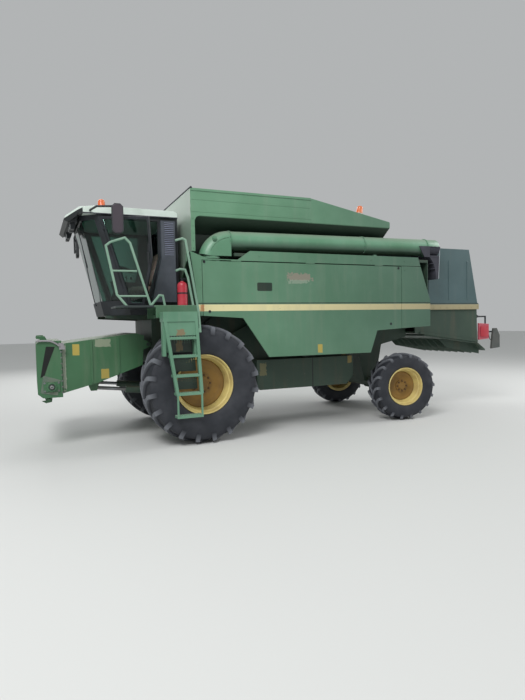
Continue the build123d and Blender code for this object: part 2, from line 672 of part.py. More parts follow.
# Straw hood: a tall open-bottomed shell behind the separator.
STRAW_TOP_REAR = -5660
STRAW_FOOT_REAR = -5880
STRAW_FOOT_Z = 1990
STRAW_STEP = 40
STRAW_RIBS = (-4650, -5150, -5620)
STRAW_RIB_W = 34
STRAW_RIB_T = 8
STRAW_RIB_Z = 2560
STRAW_RIB_H = 760
with BuildPart() as straw:
    with BuildSketch(side(STRAW_Y)):
        Polygon(
            (STRAW_FRONT, DECK_Z),
            (STRAW_FRONT, STRAW_TOP - 90),
            (STRAW_FRONT - 90, STRAW_TOP),
            (STRAW_TOP_REAR, STRAW_TOP),
            (STRAW_FOOT_REAR, 2120),
            (STRAW_FOOT_REAR - STRAW_STEP, 2100),
            (STRAW_FOOT_REAR - STRAW_STEP, STRAW_FOOT_Z),
            (HOUSING_REAR, STRAW_FOOT_Z),
            (HOUSING_REAR, DECK_Z),
        )
    extrude(amount=2 * STRAW_Y)
    with BuildSketch(side(STRAW_Y - STRAW_WALL)):
        Polygon(
            (STRAW_FRONT - STRAW_WALL, DECK_Z),
            (STRAW_FRONT - STRAW_WALL, STRAW_TOP - 90 - STRAW_WALL / 2),
            (STRAW_FRONT - 90 - STRAW_WALL / 2, STRAW_TOP - STRAW_WALL),
            (STRAW_TOP_REAR + STRAW_WALL, STRAW_TOP - STRAW_WALL),
            (STRAW_FOOT_REAR + STRAW_WALL, 2120),
            (STRAW_FOOT_REAR + STRAW_WALL, STRAW_FOOT_Z),
            (HOUSING_REAR, STRAW_FOOT_Z),
            (HOUSING_REAR, DECK_Z),
        )
    extrude(amount=2 * (STRAW_Y - STRAW_WALL), mode=Mode.SUBTRACT)
    for x in STRAW_RIBS:
        for y in (STRAW_Y + STRAW_RIB_T, -STRAW_Y):
            with BuildSketch(side(y)):
                with Locations((x, STRAW_RIB_Z)):
                    Rectangle(STRAW_RIB_W, STRAW_RIB_H)
            extrude(amount=STRAW_RIB_T)
straw.part.label = "straw_hood"
export_step(straw.part, "parts/straw_hood.step")

# Chopper housing under the straw hood: side cheeks with a wing along their foot, a back
# board, a closed belly and the rotor with its knives.
CHOPPER_Y = 970
CHOPPER_FRONT = -4330
CHOPPER_REAR = -5890
CHOPPER_FOOT_X = -5910
CHOPPER_REAR_Z = 1330
CHOPPER_FRONT_Z = 1550
CHOPPER_WALL = 30
WING_H = 45
WING_T = 14
ROTOR = (-4950, 1745)
ROTOR_R = 85
KNIFE_ROWS = 12
KNIFE_PITCH = 150
KNIFE_REACH = 215
KNIFE_W = 50
KNIFE_T = 8
KNIFE_TURN = 37
belly_slope = (CHOPPER_FRONT_Z - CHOPPER_REAR_Z) / (CHOPPER_FRONT - CHOPPER_FOOT_X)


def belly_z(x):
    """Height of the chopper's underside at a place along the machine."""
    return CHOPPER_REAR_Z + belly_slope * (x - CHOPPER_FOOT_X)


with BuildPart() as chopper:
    with BuildSketch(side(CHOPPER_Y)):
        Polygon(
            (CHOPPER_FRONT, STRAW_FOOT_Z),
            (CHOPPER_REAR, STRAW_FOOT_Z),
            (CHOPPER_FOOT_X, CHOPPER_REAR_Z),
            (CHOPPER_FRONT, CHOPPER_FRONT_Z),
        )
    extrude(amount=2 * CHOPPER_Y)
    with BuildSketch(side(CHOPPER_Y - CHOPPER_WALL)):
        Polygon(
            (CHOPPER_FRONT, STRAW_FOOT_Z),
            (CHOPPER_REAR + CHOPPER_WALL, STRAW_FOOT_Z),
            (CHOPPER_REAR + CHOPPER_WALL, 1650),
            (-5250, 1450),
            (CHOPPER_FRONT, 1590),
        )
    extrude(amount=2 * (CHOPPER_Y - CHOPPER_WALL), mode=Mode.SUBTRACT)
    for y in (CHOPPER_Y + WING_T, -CHOPPER_Y):
        with BuildSketch(side(y)):
            Polygon(
                (CHOPPER_FRONT - 120, belly_z(CHOPPER_FRONT - 120) + WING_H),
                (CHOPPER_FOOT_X, belly_z(CHOPPER_FOOT_X) + WING_H),
                (CHOPPER_FOOT_X, belly_z(CHOPPER_FOOT_X)),
                (CHOPPER_FRONT - 120, belly_z(CHOPPER_FRONT - 120)),
            )
        extrude(amount=WING_T)
    with BuildSketch(side(CHOPPER_Y - CHOPPER_WALL / 2)):
        with Locations(ROTOR):
            RegularPolygon(ROTOR_R, 12)
    extrude(amount=2 * CHOPPER_Y - CHOPPER_WALL)
    for count in range(KNIFE_ROWS):
        y = (count - (KNIFE_ROWS - 1) / 2) * KNIFE_PITCH
        with BuildSketch(side(y + KNIFE_T / 2)):
            with Locations(ROTOR):
                Rectangle(2 * KNIFE_REACH, KNIFE_W, rotation=KNIFE_TURN * count)
        extrude(amount=KNIFE_T)
chopper.part.label = "chopper_housing"
export_step(chopper.part, "parts/chopper_housing.step")

# Spreader tailboard under the chopper, a wide board with guide fins below it.
TAIL_FRONT = -4550
TAIL_REAR = -6120
TAIL_REAR_Z = 1180
TAIL_T = 30
FIN_T = 12
FINS = 9
FIN_PITCH = 200
FIN_FRONT = -5050
with BuildPart() as tailboard:
    with BuildSketch(side(CHOPPER_Y)):
        Polygon(
            (TAIL_FRONT, belly_z(TAIL_FRONT) - SEAT),
            (CHOPPER_FOOT_X, belly_z(CHOPPER_FOOT_X) - SEAT),
            (TAIL_REAR, TAIL_REAR_Z),
            (TAIL_REAR, TAIL_REAR_Z - TAIL_T),
            (CHOPPER_FOOT_X, belly_z(CHOPPER_FOOT_X) - TAIL_T),
            (TAIL_FRONT, belly_z(TAIL_FRONT) - TAIL_T),
        )
    extrude(amount=2 * CHOPPER_Y)
    for count in range(FINS):
        y = (count - (FINS - 1) / 2) * FIN_PITCH
        with BuildSketch(side(y + FIN_T / 2)):
            Polygon(
                (FIN_FRONT, belly_z(FIN_FRONT) - TAIL_T),
                (CHOPPER_FOOT_X, belly_z(CHOPPER_FOOT_X) - TAIL_T),
                (TAIL_REAR, TAIL_REAR_Z - TAIL_T),
                (TAIL_REAR, TAIL_REAR_Z - 100),
                (FIN_FRONT - 200, belly_z(FIN_FRONT) - 210),
            )
        extrude(amount=FIN_T)
tailboard.part.label = "spreader_tailboard"
export_step(tailboard.part, "parts/spreader_tailboard.step")

# Marker arm at the tail with a red board and a lamp box.
MARKER_Y = 880
MARKER_BAR = 16
MARKER_ROOT = -5895


def chopper_back(z):
    """Place along the machine of the chopper's back board at a height."""
    fall = (CHOPPER_REAR - CHOPPER_FOOT_X) / (STRAW_FOOT_Z - CHOPPER_REAR_Z)
    return CHOPPER_REAR - fall * (STRAW_FOOT_Z - z)


with BuildPart() as marker:
    with BuildSketch(side(MARKER_Y + 15)):
        Polygon(
            (chopper_back(1925) - SEAT, 1925),
            (chopper_back(1795) - SEAT, 1795),
            (MARKER_ROOT - 120, 1830),
            (MARKER_ROOT - 120, 1860),
        )
    extrude(amount=30)
    add(tube_run(MARKER_BAR, (MARKER_ROOT - 60, MARKER_Y, 1845), (-6215, MARKER_Y, 1845), (-6215, MARKER_Y, 1540)))
    add(tube_run(MARKER_BAR, (-6215, MARKER_Y, 1560), (-6300, MARKER_Y, 1530), (-6470, MARKER_Y, 1530)))
marker.part.label = "marker_arm"
export_step(marker.part, "parts/marker_arm.step")

with BuildPart() as boards:
    with BuildSketch(side(MARKER_Y + MARKER_BAR + SEAT + 30)):
        Polygon((-5990, 1710), (-6270, 1690), (-6270, 1390), (-5990, 1370))
    extrude(amount=30)
    with BuildSketch(side(MARKER_Y + MARKER_BAR + SEAT + 45)):
        Polygon((-6390, 1600), (-6480, 1600), (-6560, 1450), (-6560, 1200), (-6330, 1180), (-6360, 1450))
    extrude(amount=45)
boards.part.label = "marker_boards"
export_step(boards.part, "parts/marker_boards.step")

# Cab shell: narrower at the foot, with slanted front corners. Each ring is given by the
# forward place of the door pillar, of the front face, and the half width of that face.
CabRing = namedtuple("CabRing", "z pillar front face_y")
CAB_FOOT = CabRing(CAB_FLOOR_Z, 955, 1310, 495)
CAB_HEAD = CabRing(3450, 1400, 1640, 610)


def cab_block(inset):
    """Solid of the cab, moved inwards by a wall or a clearance, open at its top."""
    corner = Vector(CAB_FOOT.pillar, CAB_Y, CAB_FOOT.z)
    along = Vector(CAB_HEAD.pillar, CAB_Y, CAB_HEAD.z) - corner
    over = Vector(CAB_FOOT.front, CAB_FOOT.face_y, CAB_FOOT.z) - corner
    outwards = over.cross(along).normalized()
    if outwards.X < 0:
        outwards = -outwards
    with BuildPart() as block:
        with BuildSketch(side(CAB_Y - inset)):
            Polygon(
                (CAB_REAR + inset, CAB_FOOT.z + (CAB_WALL if inset else 0)),
                (CAB_FOOT.front - inset, CAB_FOOT.z + (CAB_WALL if inset else 0)),
                (CAB_HEAD.front - inset, CAB_HEAD.z),
                (CAB_REAR + inset, CAB_HEAD.z),
            )
        extrude(amount=2 * (CAB_Y - inset))
        for hand in (1, -1):
            facing = Vector(outwards.X, hand * outwards.Y, outwards.Z)
            foot = Vector(FRONT_AXLE_X + corner.X, hand * corner.Y, corner.Z)
            split(bisect_by=Plane(origin=foot - facing * inset, z_dir=facing), keep=Keep.BOTTOM)
    return block.part


DOOR_FRONT_IN = 60
DOOR_SILL_Z = 2150
DOOR_HEAD_Z = 3390
B_PILLAR_X = 510
B_PILLAR_FOOT_X = 710
B_PILLAR_BEND_Z = 2830
pillar_slope = (CAB_HEAD.pillar - CAB_FOOT.pillar) / (CAB_HEAD.z - CAB_FOOT.z)


def pillar_x(z):
    """Forward place of the outer edge of the door pillar at a height."""
    return CAB_FOOT.pillar + pillar_slope * (z - CAB_FOOT.z)


def door_outline(inset):
    """Door opening seen from the side, made smaller all round by an inset."""
    return (
        (pillar_x(DOOR_SILL_Z) - DOOR_FRONT_IN - inset, DOOR_SILL_Z + inset),
        (pillar_x(DOOR_HEAD_Z) - DOOR_FRONT_IN - inset, DOOR_HEAD_Z - inset),
        (B_PILLAR_X + inset, DOOR_HEAD_Z - inset),
        (B_PILLAR_X + inset, B_PILLAR_BEND_Z + inset / 2),
        (B_PILLAR_FOOT_X + inset, DOOR_SILL_Z + inset),
    )


# Door hinge line, outside the door pillar and parallel to it, with two stacked knuckles
# at each of two stations: the lower one on the pillar and the upper one on the door.
HINGE_BACK = 18
HINGE_OFF = 24
KNUCKLE_R = 10
KNUCKLE_H = 60
HINGE_STATIONS = (90, 1120)
hinge_foot = Vector(FRONT_AXLE_X + pillar_x(DOOR_SILL_Z) - HINGE_BACK, CAB_Y + HINGE_OFF, DOOR_SILL_Z)
hinge_head = Vector(FRONT_AXLE_X + pillar_x(DOOR_HEAD_Z) - HINGE_BACK, CAB_Y + HINGE_OFF, DOOR_HEAD_Z)
hinge_line = Axis(hinge_foot, hinge_head - hinge_foot)


def hinge_plane(distance):
    """Plane across the hinge line: x to the left, y to the rear, at a distance up the line."""
    origin = hinge_foot + hinge_line.direction * distance
    return Plane(origin=origin, x_dir=(0, 1, 0), z_dir=hinge_line.direction)


WINDSHIELD_Y = 790
WINDSHIELD_FOOT = 2180
WINDSHIELD_HEAD = 3380
REAR_GLASS_Y = 600
REAR_GLASS_FOOT = 2700
cab_outside = cab_block(0)
cab_inside = cab_block(CAB_WALL)
with BuildPart() as cab:
    add(cab_outside)
    add(cab_inside, mode=Mode.SUBTRACT)
    with BuildSketch(side(CAB_Y)):
        Polygon(*door_outline(0))
    extrude(amount=2 * CAB_Y, mode=Mode.SUBTRACT)
    with BuildSketch(across(900)):
        with Locations((0, WINDSHIELD_FOOT)):
            Rectangle(2 * WINDSHIELD_Y, WINDSHIELD_HEAD - WINDSHIELD_FOOT, align=(Align.CENTER, Align.MIN))
    extrude(amount=900, mode=Mode.SUBTRACT)
    with BuildSketch(across(CAB_REAR)):
        with Locations((0, REAR_GLASS_FOOT)):
            Rectangle(2 * REAR_GLASS_Y, WINDSHIELD_HEAD - REAR_GLASS_FOOT, align=(Align.CENTER, Align.MIN))
    extrude(amount=CAB_WALL, mode=Mode.SUBTRACT)
    for station in HINGE_STATIONS:
        with BuildSketch(hinge_plane(station)):
            Circle(KNUCKLE_R)
            with Locations((-HINGE_OFF / 2 - 2, 0)):
                Rectangle(HINGE_OFF + 4, 2 * KNUCKLE_R)
        extrude(amount=KNUCKLE_H)
cab.part.label = "cab_frame"
export_step(cab.part, "parts/cab_frame.step")

# Cab glass: the windshield, one bent sheet inside the front opening, then the right side
# window and the rear window.
GLASS_IN = 21
glass_outside = cab_block(GLASS_IN)
glass_inside = cab_block(GLASS_IN + GLASS_T)
with BuildPart() as cab_glass:
    add(glass_outside)
    add(glass_inside, mode=Mode.SUBTRACT)
    with BuildSketch(across(900)):
        with Locations((0, WINDSHIELD_FOOT + SEAT)):
            Rectangle(
                2 * (WINDSHIELD_Y - SEAT),
                WINDSHIELD_HEAD - WINDSHIELD_FOOT - 2 * SEAT,
                align=(Align.CENTER, Align.MIN),
            )
    extrude(amount=900, mode=Mode.INTERSECT)
    with BuildSketch(side(-CAB_Y + GLASS_IN + GLASS_T)):
        Polygon(*door_outline(SEAT))
    extrude(amount=GLASS_T)
    with BuildSketch(across(CAB_REAR + GLASS_IN)):
        with Locations((0, REAR_GLASS_FOOT + SEAT)):
            Rectangle(
                2 * (REAR_GLASS_Y - SEAT),
                WINDSHIELD_HEAD - REAR_GLASS_FOOT - 2 * SEAT,
                align=(Align.CENTER, Align.MIN),
            )
    extrude(amount=GLASS_T)
cab_glass.part.label = "cab_glass"
export_step(cab_glass.part, "parts/cab_glass.step")

# Cab roof: a thick cap with a visor lip in front.
ROOF_TOP = 3570
ROOF_LIP_X = 1860
ROOF_LIP_Z = 3330
ROOF_CORNER = 190
VISOR_Y = 700
with BuildPart() as roof:
    with BuildSketch(side(CAB_Y + 20)):
        Polygon(
            (CAB_REAR, CAB_HEAD.z),
            (CAB_REAR, ROOF_TOP - 40),
            (CAB_REAR + 60, ROOF_TOP - 10),
            (1400, ROOF_TOP),
            (1640, 3540),
            (ROOF_LIP_X - 30, 3430),
            (ROOF_LIP_X, ROOF_LIP_Z + 40),
            (ROOF_LIP_X - 60, ROOF_LIP_Z),
            (1690, 3400),
            (1660, CAB_HEAD.z),
        )
    extrude(amount=2 * (CAB_Y + 20))
    for hand in (1, -1):
        facing = Vector(1, hand, 0).normalized()
        foot = Vector(FRONT_AXLE_X + ROOF_LIP_X - ROOF_CORNER, hand * (CAB_Y + 20), ROOF_TOP)
        split(bisect_by=Plane(origin=foot, z_dir=facing), keep=Keep.BOTTOM)
    with BuildSketch(side(VISOR_Y)):
        Polygon((1640, CAB_HEAD.z - SEAT), (1672, CAB_HEAD.z - SEAT), (ROOF_LIP_X - 70, 3345), (1690, 3345))
    extrude(amount=2 * VISOR_Y)
roof.part.label = "cab_roof"
export_step(roof.part, "parts/cab_roof.step")

# Work lamps in a row under the visor.
LAMP_X = 1728
LAMP_TOP = 3345 - SEAT
LAMP_H = 95
LAMP_W = 150
LAMPS_Y = (560, 330, -330, -560)
with BuildPart() as work_lamps:
    for y in LAMPS_Y:
        with BuildSketch(side(y + LAMP_W / 2)):
            Polygon(
                (LAMP_X - 35, LAMP_TOP),
                (LAMP_X + 35, LAMP_TOP),
                (LAMP_X + 30, LAMP_TOP - LAMP_H),
                (LAMP_X - 20, LAMP_TOP - LAMP_H),
                (LAMP_X - 40, LAMP_TOP - LAMP_H / 2),
            )
        extrude(amount=LAMP_W)
work_lamps.part.label = "work_lamps"
export_step(work_lamps.part, "parts/work_lamps.step")

# Door, hung on the slanted pillar and standing open. It is drawn closed and swung out.
DOOR_OPEN = 50
DOOR_GAP = 8
DOOR_LAP = 20
DOOR_T = 30
DOOR_BAR = 35
with BuildPart() as door_frame:
    with BuildSketch(side(CAB_Y + DOOR_GAP + DOOR_T)):
        Polygon(*door_outline(-DOOR_LAP))
        Polygon(*door_outline(DOOR_BAR - DOOR_LAP), mode=Mode.SUBTRACT)
    extrude(amount=DOOR_T)
    for station in HINGE_STATIONS:
        with BuildSketch(hinge_plane(station + KNUCKLE_H + SEAT)):
            RegularPolygon(KNUCKLE_R, 8)
            with Locations((0, HINGE_BACK)):
                Rectangle(KNUCKLE_R, 2 * HINGE_BACK)
        extrude(amount=KNUCKLE_H)
door_frame.part = door_frame.part.rotate(hinge_line, -DOOR_OPEN)
door_frame.part.label = "door_frame"
export_step(door_frame.part, "parts/door_frame.step")

with BuildPart() as door_glass:
    with BuildSketch(side(CAB_Y + DOOR_GAP + DOOR_T / 2 + GLASS_T / 2)):
        Polygon(*door_outline(DOOR_BAR - DOOR_LAP + SEAT))
    extrude(amount=GLASS_T)
door_glass.part = door_glass.part.rotate(hinge_line, -DOOR_OPEN)
door_glass.part.label = "door_glass"
export_step(door_glass.part, "parts/door_glass.step")

# Louvred panel on the cab's rear left corner, its foot flared forward under the window.
LOUVRE_OUT = 90
LOUVRE_REAR = 262
LOUVRE_FRONT = 478
LOUVRE_FOOT = 645
LOUVRE_HEAD_Z = 3372
LOUVRES = 18
LOUVRE_PITCH = 28.5
LOUVRE_DEEP = 15
with BuildPart() as louvres:
    with BuildSketch(side(CAB_Y + LOUVRE_OUT)):
        Polygon(
            (LOUVRE_REAR, DOOR_SILL_Z),
            (LOUVRE_REAR, DOOR_HEAD_Z),
            (LOUVRE_FRONT, DOOR_HEAD_Z),
            (LOUVRE_FRONT, B_PILLAR_BEND_Z),
            (LOUVRE_FOOT, DOOR_SILL_Z),
        )
    extrude(amount=LOUVRE_OUT)
    for count in range(LOUVRES):
        with BuildSketch(side(CAB_Y + LOUVRE_OUT)):
            with Locations((LOUVRE_REAR + 22, LOUVRE_HEAD_Z - count * LOUVRE_PITCH)):
                Rectangle(145, LOUVRE_PITCH / 2, align=(Align.MIN, Align.MAX))
        extrude(amount=LOUVRE_DEEP, mode=Mode.SUBTRACT)
louvres.part.label = "louvre_panel"
export_step(louvres.part, "parts/louvre_panel.step")

# Seat cushion and backrest.
SEAT_X = 560
SEAT_W = 480
PEDESTAL_H = 330
CAB_INNER_FLOOR = CAB_FLOOR_Z + CAB_WALL
with BuildPart() as seat:
    with BuildSketch(side(SEAT_W / 2)):
        Polygon(
            (SEAT_X - 180, CAB_INNER_FLOOR + PEDESTAL_H),
            (SEAT_X + 290, CAB_INNER_FLOOR + PEDESTAL_H),
            (SEAT_X + 290, CAB_INNER_FLOOR + PEDESTAL_H + 110),
            (SEAT_X - 60, CAB_INNER_FLOOR + PEDESTAL_H + 110),
            (SEAT_X - 150, CAB_INNER_FLOOR + PEDESTAL_H + 670),
            (SEAT_X - 270, CAB_INNER_FLOOR + PEDESTAL_H + 670),
        )
    extrude(amount=SEAT_W)
seat.part.label = "seat"
export_step(seat.part, "parts/seat.step")

# Controls: the seat's pedestal, the steering column with its wheel, and the console at
# the driver's right.
with BuildPart() as controls:
    with BuildSketch(level(CAB_INNER_FLOOR)):
        with Locations((SEAT_X + 40, 0)):
            Rectangle(360, 360)
    extrude(amount=PEDESTAL_H)
    with BuildSketch(side(60)):
        Polygon(
            (1180, CAB_INNER_FLOOR),
            (1060, CAB_INNER_FLOOR),
            (930, CAB_INNER_FLOOR + 720),
            (980, CAB_INNER_FLOOR + 740),
        )
    extrude(amount=120)
    with BuildSketch(
        Plane(origin=(FRONT_AXLE_X + 955, 0, CAB_INNER_FLOOR + 725), x_dir=(0, 1, 0), z_dir=(-0.28, 0, 0.96))
    ):
        RegularPolygon(200, 16)
        RegularPolygon(175, 16, mode=Mode.SUBTRACT)
        Rectangle(370, 40)
    extrude(amount=25)
    with BuildSketch(side(-320)):
        Polygon(
            (SEAT_X - 150, CAB_INNER_FLOOR),
            (SEAT_X + 350, CAB_INNER_FLOOR),
            (SEAT_X + 500, CAB_INNER_FLOOR + 560),
            (SEAT_X - 150, CAB_INNER_FLOOR + 520),
        )
    extrude(amount=200)
controls.part.label = "cab_controls"
export_step(controls.part, "parts/cab_controls.step")

# Platform outside the door: a deck with a skirt at each edge, on two arms from the housing.
PLATFORM_OUT = 1480
PLATFORM_TOP = 2080
PLATFORM_T = 30
PLATFORM_REAR = 80
PLATFORM_FRONT = 1250
SKIRT_T = 25
SKIRT_FOOT = 1900
SKIRT_FRONT = 710
ARM_TOP = 1955
PLATFORM_ARM = 50
with BuildPart() as platform:
    with BuildSketch(level(PLATFORM_TOP - PLATFORM_T)):
        Polygon(
            (PLATFORM_REAR, CAB_Y + SEAT),
            (PLATFORM_REAR, PLATFORM_OUT),
            (PLATFORM_FRONT - 70, PLATFORM_OUT),
            (PLATFORM_FRONT, PLATFORM_OUT - 150),
            (PLATFORM_FRONT, CAB_Y + SEAT),
        )
    extrude(amount=PLATFORM_T)
    for y in (PLATFORM_OUT, CAB_Y + SEAT + SKIRT_T):
        with BuildSketch(side(y)):
            Polygon(
                (PLATFORM_REAR, SKIRT_FOOT),
                (PLATFORM_REAR, PLATFORM_TOP),
                (SKIRT_FRONT, PLATFORM_TOP),
                (SKIRT_FRONT, SKIRT_FOOT),
            )
        extrude(amount=SKIRT_T)
    for x in (PLATFORM_REAR, HOUSING_FRONT - PLATFORM_ARM):
        with BuildSketch(side(PLATFORM_OUT - SKIRT_T)):
            Polygon((x, ARM_TOP), (x, SKIRT_FOOT), (x + PLATFORM_ARM, SKIRT_FOOT), (x + PLATFORM_ARM, ARM_TOP))
        extrude(amount=PLATFORM_OUT - SKIRT_T - WALL_Y)
platform.part.label = "platform"
export_step(platform.part, "parts/platform.step")

# Ladder in front of the left wheel: two stringers that close in downwards, treads with
# toothed edges, a lowest step on thin bars, and pierced risers behind the upper treads.
LADDER_Y = 1700
LADDER_DEPTH = 160
LADDER_TOP = 1900
LADDER_FOOT = 800
STRINGER = 45
STRINGER_T = 60
FRONT_STRINGER_TOP = 660
FRONT_STRINGER_FOOT = 500
REAR_STRINGER_TOP = 160
REAR_STRINGER_FOOT = 100
TREAD_H = 34
TREAD_TOOTH = 12
TREAD_TEETH = 9
TREADS = (1620, 1360, 1080, 817)
RISERS = (1400, 1660)
RISER_H = 190
RISER_T = 8
RISER_HOLES = 5
STEP_Z = 490


def front_edge(z):
    """Front edge of the ladder's front stringer at a height."""
    rise = (z - LADDER_FOOT) / (LADDER_TOP - LADDER_FOOT)
    return FRONT_STRINGER_FOOT + rise * (FRONT_STRINGER_TOP - FRONT_STRINGER_FOOT)


def stringer_edge(z):
    """Rear edge of the ladder's rear stringer at a height."""
    rise = (z - LADDER_FOOT) / (LADDER_TOP - LADDER_FOOT)
    return REAR_STRINGER_FOOT + rise * (REAR_STRINGER_TOP - REAR_STRINGER_FOOT)


with BuildPart() as ladder:
    with BuildSketch(side(LADDER_Y)):
        Polygon(
            (front_edge(LADDER_TOP), LADDER_TOP),
            (front_edge(LADDER_TOP) - STRINGER, LADDER_TOP),
            (front_edge(LADDER_FOOT) - STRINGER, LADDER_FOOT),
            (front_edge(LADDER_FOOT), LADDER_FOOT),
        )
        Polygon(
            (stringer_edge(LADDER_TOP), LADDER_TOP),
            (stringer_edge(LADDER_TOP) + STRINGER, LADDER_TOP),
            (stringer_edge(LADDER_FOOT) + STRINGER, LADDER_FOOT),
            (stringer_edge(LADDER_FOOT), LADDER_FOOT),
        )
    extrude(amount=STRINGER_T)
    for z in TREADS + (STEP_Z,):
        rear = stringer_edge(max(z, LADDER_FOOT)) + 8
        front = front_edge(max(z, LADDER_FOOT)) - 8
        with BuildSketch(level(z - TREAD_H)):
            with Locations(((rear + front) / 2, LADDER_Y - LADDER_DEPTH / 2)):
                Rectangle(front - rear, LADDER_DEPTH)
            with Locations(((rear + front) / 2, LADDER_Y - LADDER_DEPTH / 2)):
                Rectangle(front - rear - 60, LADDER_DEPTH - 60, mode=Mode.SUBTRACT)
        extrude(amount=TREAD_H)
        with BuildSketch(side(LADDER_Y)):
            pitch = (front - rear - 2 * STRINGER) / TREAD_TEETH
            for count in range(TREAD_TEETH):
                x = rear + STRINGER + count * pitch
                Polygon((x, z), (x + pitch, z), (x + pitch / 2, z + TREAD_TOOTH))
        extrude(amount=30)
    for x in (stringer_edge(LADDER_FOOT) + 10, front_edge(LADDER_FOOT) - 35):
        with BuildSketch(side(LADDER_Y)):
            with Locations((x, STEP_Z - TREAD_H)):
                Rectangle(25, LADDER_FOOT + STRINGER - STEP_Z, align=(Align.MIN, Align.MIN))
        extrude(amount=25)
    for foot in RISERS:
        with BuildSketch(side(LADDER_Y - LADDER_DEPTH + RISER_T)):
            Polygon(
                (stringer_edge(foot), foot),
                (front_edge(foot), foot),
                (front_edge(foot + RISER_H), foot + RISER_H),
                (stringer_edge(foot + RISER_H), foot + RISER_H),
            )
            with Locations(((stringer_edge(foot) + front_edge(foot)) / 2, foot + RISER_H / 3)):
                with GridLocations(75, 0, RISER_HOLES, 1):
                    RegularPolygon(16, 6, mode=Mode.SUBTRACT)
        extrude(amount=RISER_T)
    for x in (stringer_edge(LADDER_TOP), front_edge(LADDER_TOP) - STRINGER):
        with BuildSketch(side(LADDER_Y - STRINGER_T)):
            Polygon(
                (x, LADDER_TOP - 550),
                (x, LADDER_TOP),
                (x + STRINGER, LADDER_TOP),
                (x + STRINGER, LADDER_TOP - 550),
            )
        extrude(amount=LADDER_DEPTH - STRINGER_T)
    with BuildSketch(side(LADDER_Y)):
        Polygon(
            (REAR_STRINGER_TOP, LADDER_TOP - 60),
            (REAR_STRINGER_TOP, LADDER_TOP + 80),
            (FRONT_STRINGER_TOP, LADDER_TOP + 80),
            (FRONT_STRINGER_TOP, LADDER_TOP - 60),
        )
    extrude(amount=LADDER_Y - PLATFORM_OUT)
ladder.part.label = "ladder"
export_step(ladder.part, "parts/ladder.step")

# Guardrail at the front of the platform and the handrails behind the ladder, all of bent
# tube. The long handrail is clamped to the ladder's rear stringer.
RAIL_R = 16
RAIL_Y = PLATFORM_OUT - 20
CLAMP_TOP = LADDER_TOP - 160
CLAMP_H = 60
FOOT_Z = PLATFORM_TOP - RAIL_R
GUARD = ((1107, FOOT_Z), (1240, 2230), (1370, 2900), (1310, 2950), (1110, 3020), (1040, 2950), (775, FOOT_Z))
GUARD_RUNGS = ((1302, 958, 2560), (1230, 830, 2210))
REAR_RAIL = ((400, 2577), (340, 2603), (262, 2595), (222, 2480), (152, FOOT_Z))
SHORT_RAIL = ((783, FOOT_Z), (650, 2223), (600, 2215), (572, FOOT_Z))
LONG_RAIL = ((448, 2980), (350, 3012), (303, 2990), (138, 1990), (118, CLAMP_TOP - CLAMP_H))
with BuildPart() as rails:
    for route in (GUARD, REAR_RAIL, SHORT_RAIL):
        add(tube_run(RAIL_R, *[(x, RAIL_Y, z) for x, z in route]))
    with BuildSketch(level(PLATFORM_TOP - 4 * RAIL_R)):
        with Locations(((PLATFORM_REAR + PLATFORM_FRONT) / 2, RAIL_Y)):
            Rectangle(PLATFORM_FRONT - PLATFORM_REAR + 4 * RAIL_R, 4 * RAIL_R)
    extrude(amount=4 * RAIL_R, mode=Mode.SUBTRACT)
    for front, rear, z in GUARD_RUNGS:
        add(tube_run(RAIL_R * 0.8, (front, RAIL_Y, z), (rear, RAIL_Y, z)))
    add(tube_run(RAIL_R, *[(x, LADDER_Y - STRINGER_T / 2, z) for x, z in LONG_RAIL]))
    with BuildSketch(side(LADDER_Y - STRINGER_T / 2 + RAIL_R)):
        Polygon(
            (stringer_edge(CLAMP_TOP) - SEAT, CLAMP_TOP),
            (stringer_edge(CLAMP_TOP - CLAMP_H) - SEAT, CLAMP_TOP - CLAMP_H),
            (stringer_edge(CLAMP_TOP - CLAMP_H) - 30, CLAMP_TOP - CLAMP_H),
            (stringer_edge(CLAMP_TOP) - 30, CLAMP_TOP),
        )
    extrude(amount=2 * RAIL_R)
rails.part.label = "handrails"
export_step(rails.part, "parts/handrails.step")

# Fire extinguisher standing on the platform: shouldered bottle, valve and handle.
EXTINGUISHER_R = 78
EXTINGUISHER_X = 275
EXTINGUISHER_Y = 1330
NECK_R = 24
BOTTLE_H = 305
SHOULDER_H = 350
extinguisher_base = Plane(origin=(FRONT_AXLE_X + EXTINGUISHER_X, EXTINGUISHER_Y, PLATFORM_TOP))
bottle_outline = (
    (NECK_R / 2, 0),
    (EXTINGUISHER_R, 0),
    (EXTINGUISHER_R, BOTTLE_H),
    (NECK_R, SHOULDER_H),
    (NECK_R / 2, SHOULDER_H),
)
with BuildPart() as extinguisher:
    add(flat_ring(extinguisher_base, bottle_outline, 360 / 12, 12))
    with BuildSketch(extinguisher_base):
        RegularPolygon(0.9 * NECK_R, 8)
    extrude(amount=SHOULDER_H + 50)
    with BuildSketch(extinguisher_base.offset(392)):
        with Locations((-30, 0)):
            Rectangle(120, 18)
    extrude(amount=16)
extinguisher.part.label = "fire_extinguisher"
export_step(extinguisher.part, "parts/fire_extinguisher.step")

# Mirrors: the left one folded along the cab, the right one swung out.
MIRROR_H = 420
MIRROR_CORNER = 40
MIRROR_TOP = 3520


def mirror_outline(start, width):
    """Upright outline of a mirror's housing with cut corners."""
    foot = MIRROR_TOP - MIRROR_H
    return (
        (start + MIRROR_CORNER, foot),
        (start + width - MIRROR_CORNER, foot),
        (start + width, foot + MIRROR_CORNER),
        (start + width, MIRROR_TOP - MIRROR_CORNER),
        (start + width - MIRROR_CORNER, MIRROR_TOP),
        (start + MIRROR_CORNER, MIRROR_TOP),
        (start, MIRROR_TOP - MIRROR_CORNER),
        (start, foot + MIRROR_CORNER),
    )


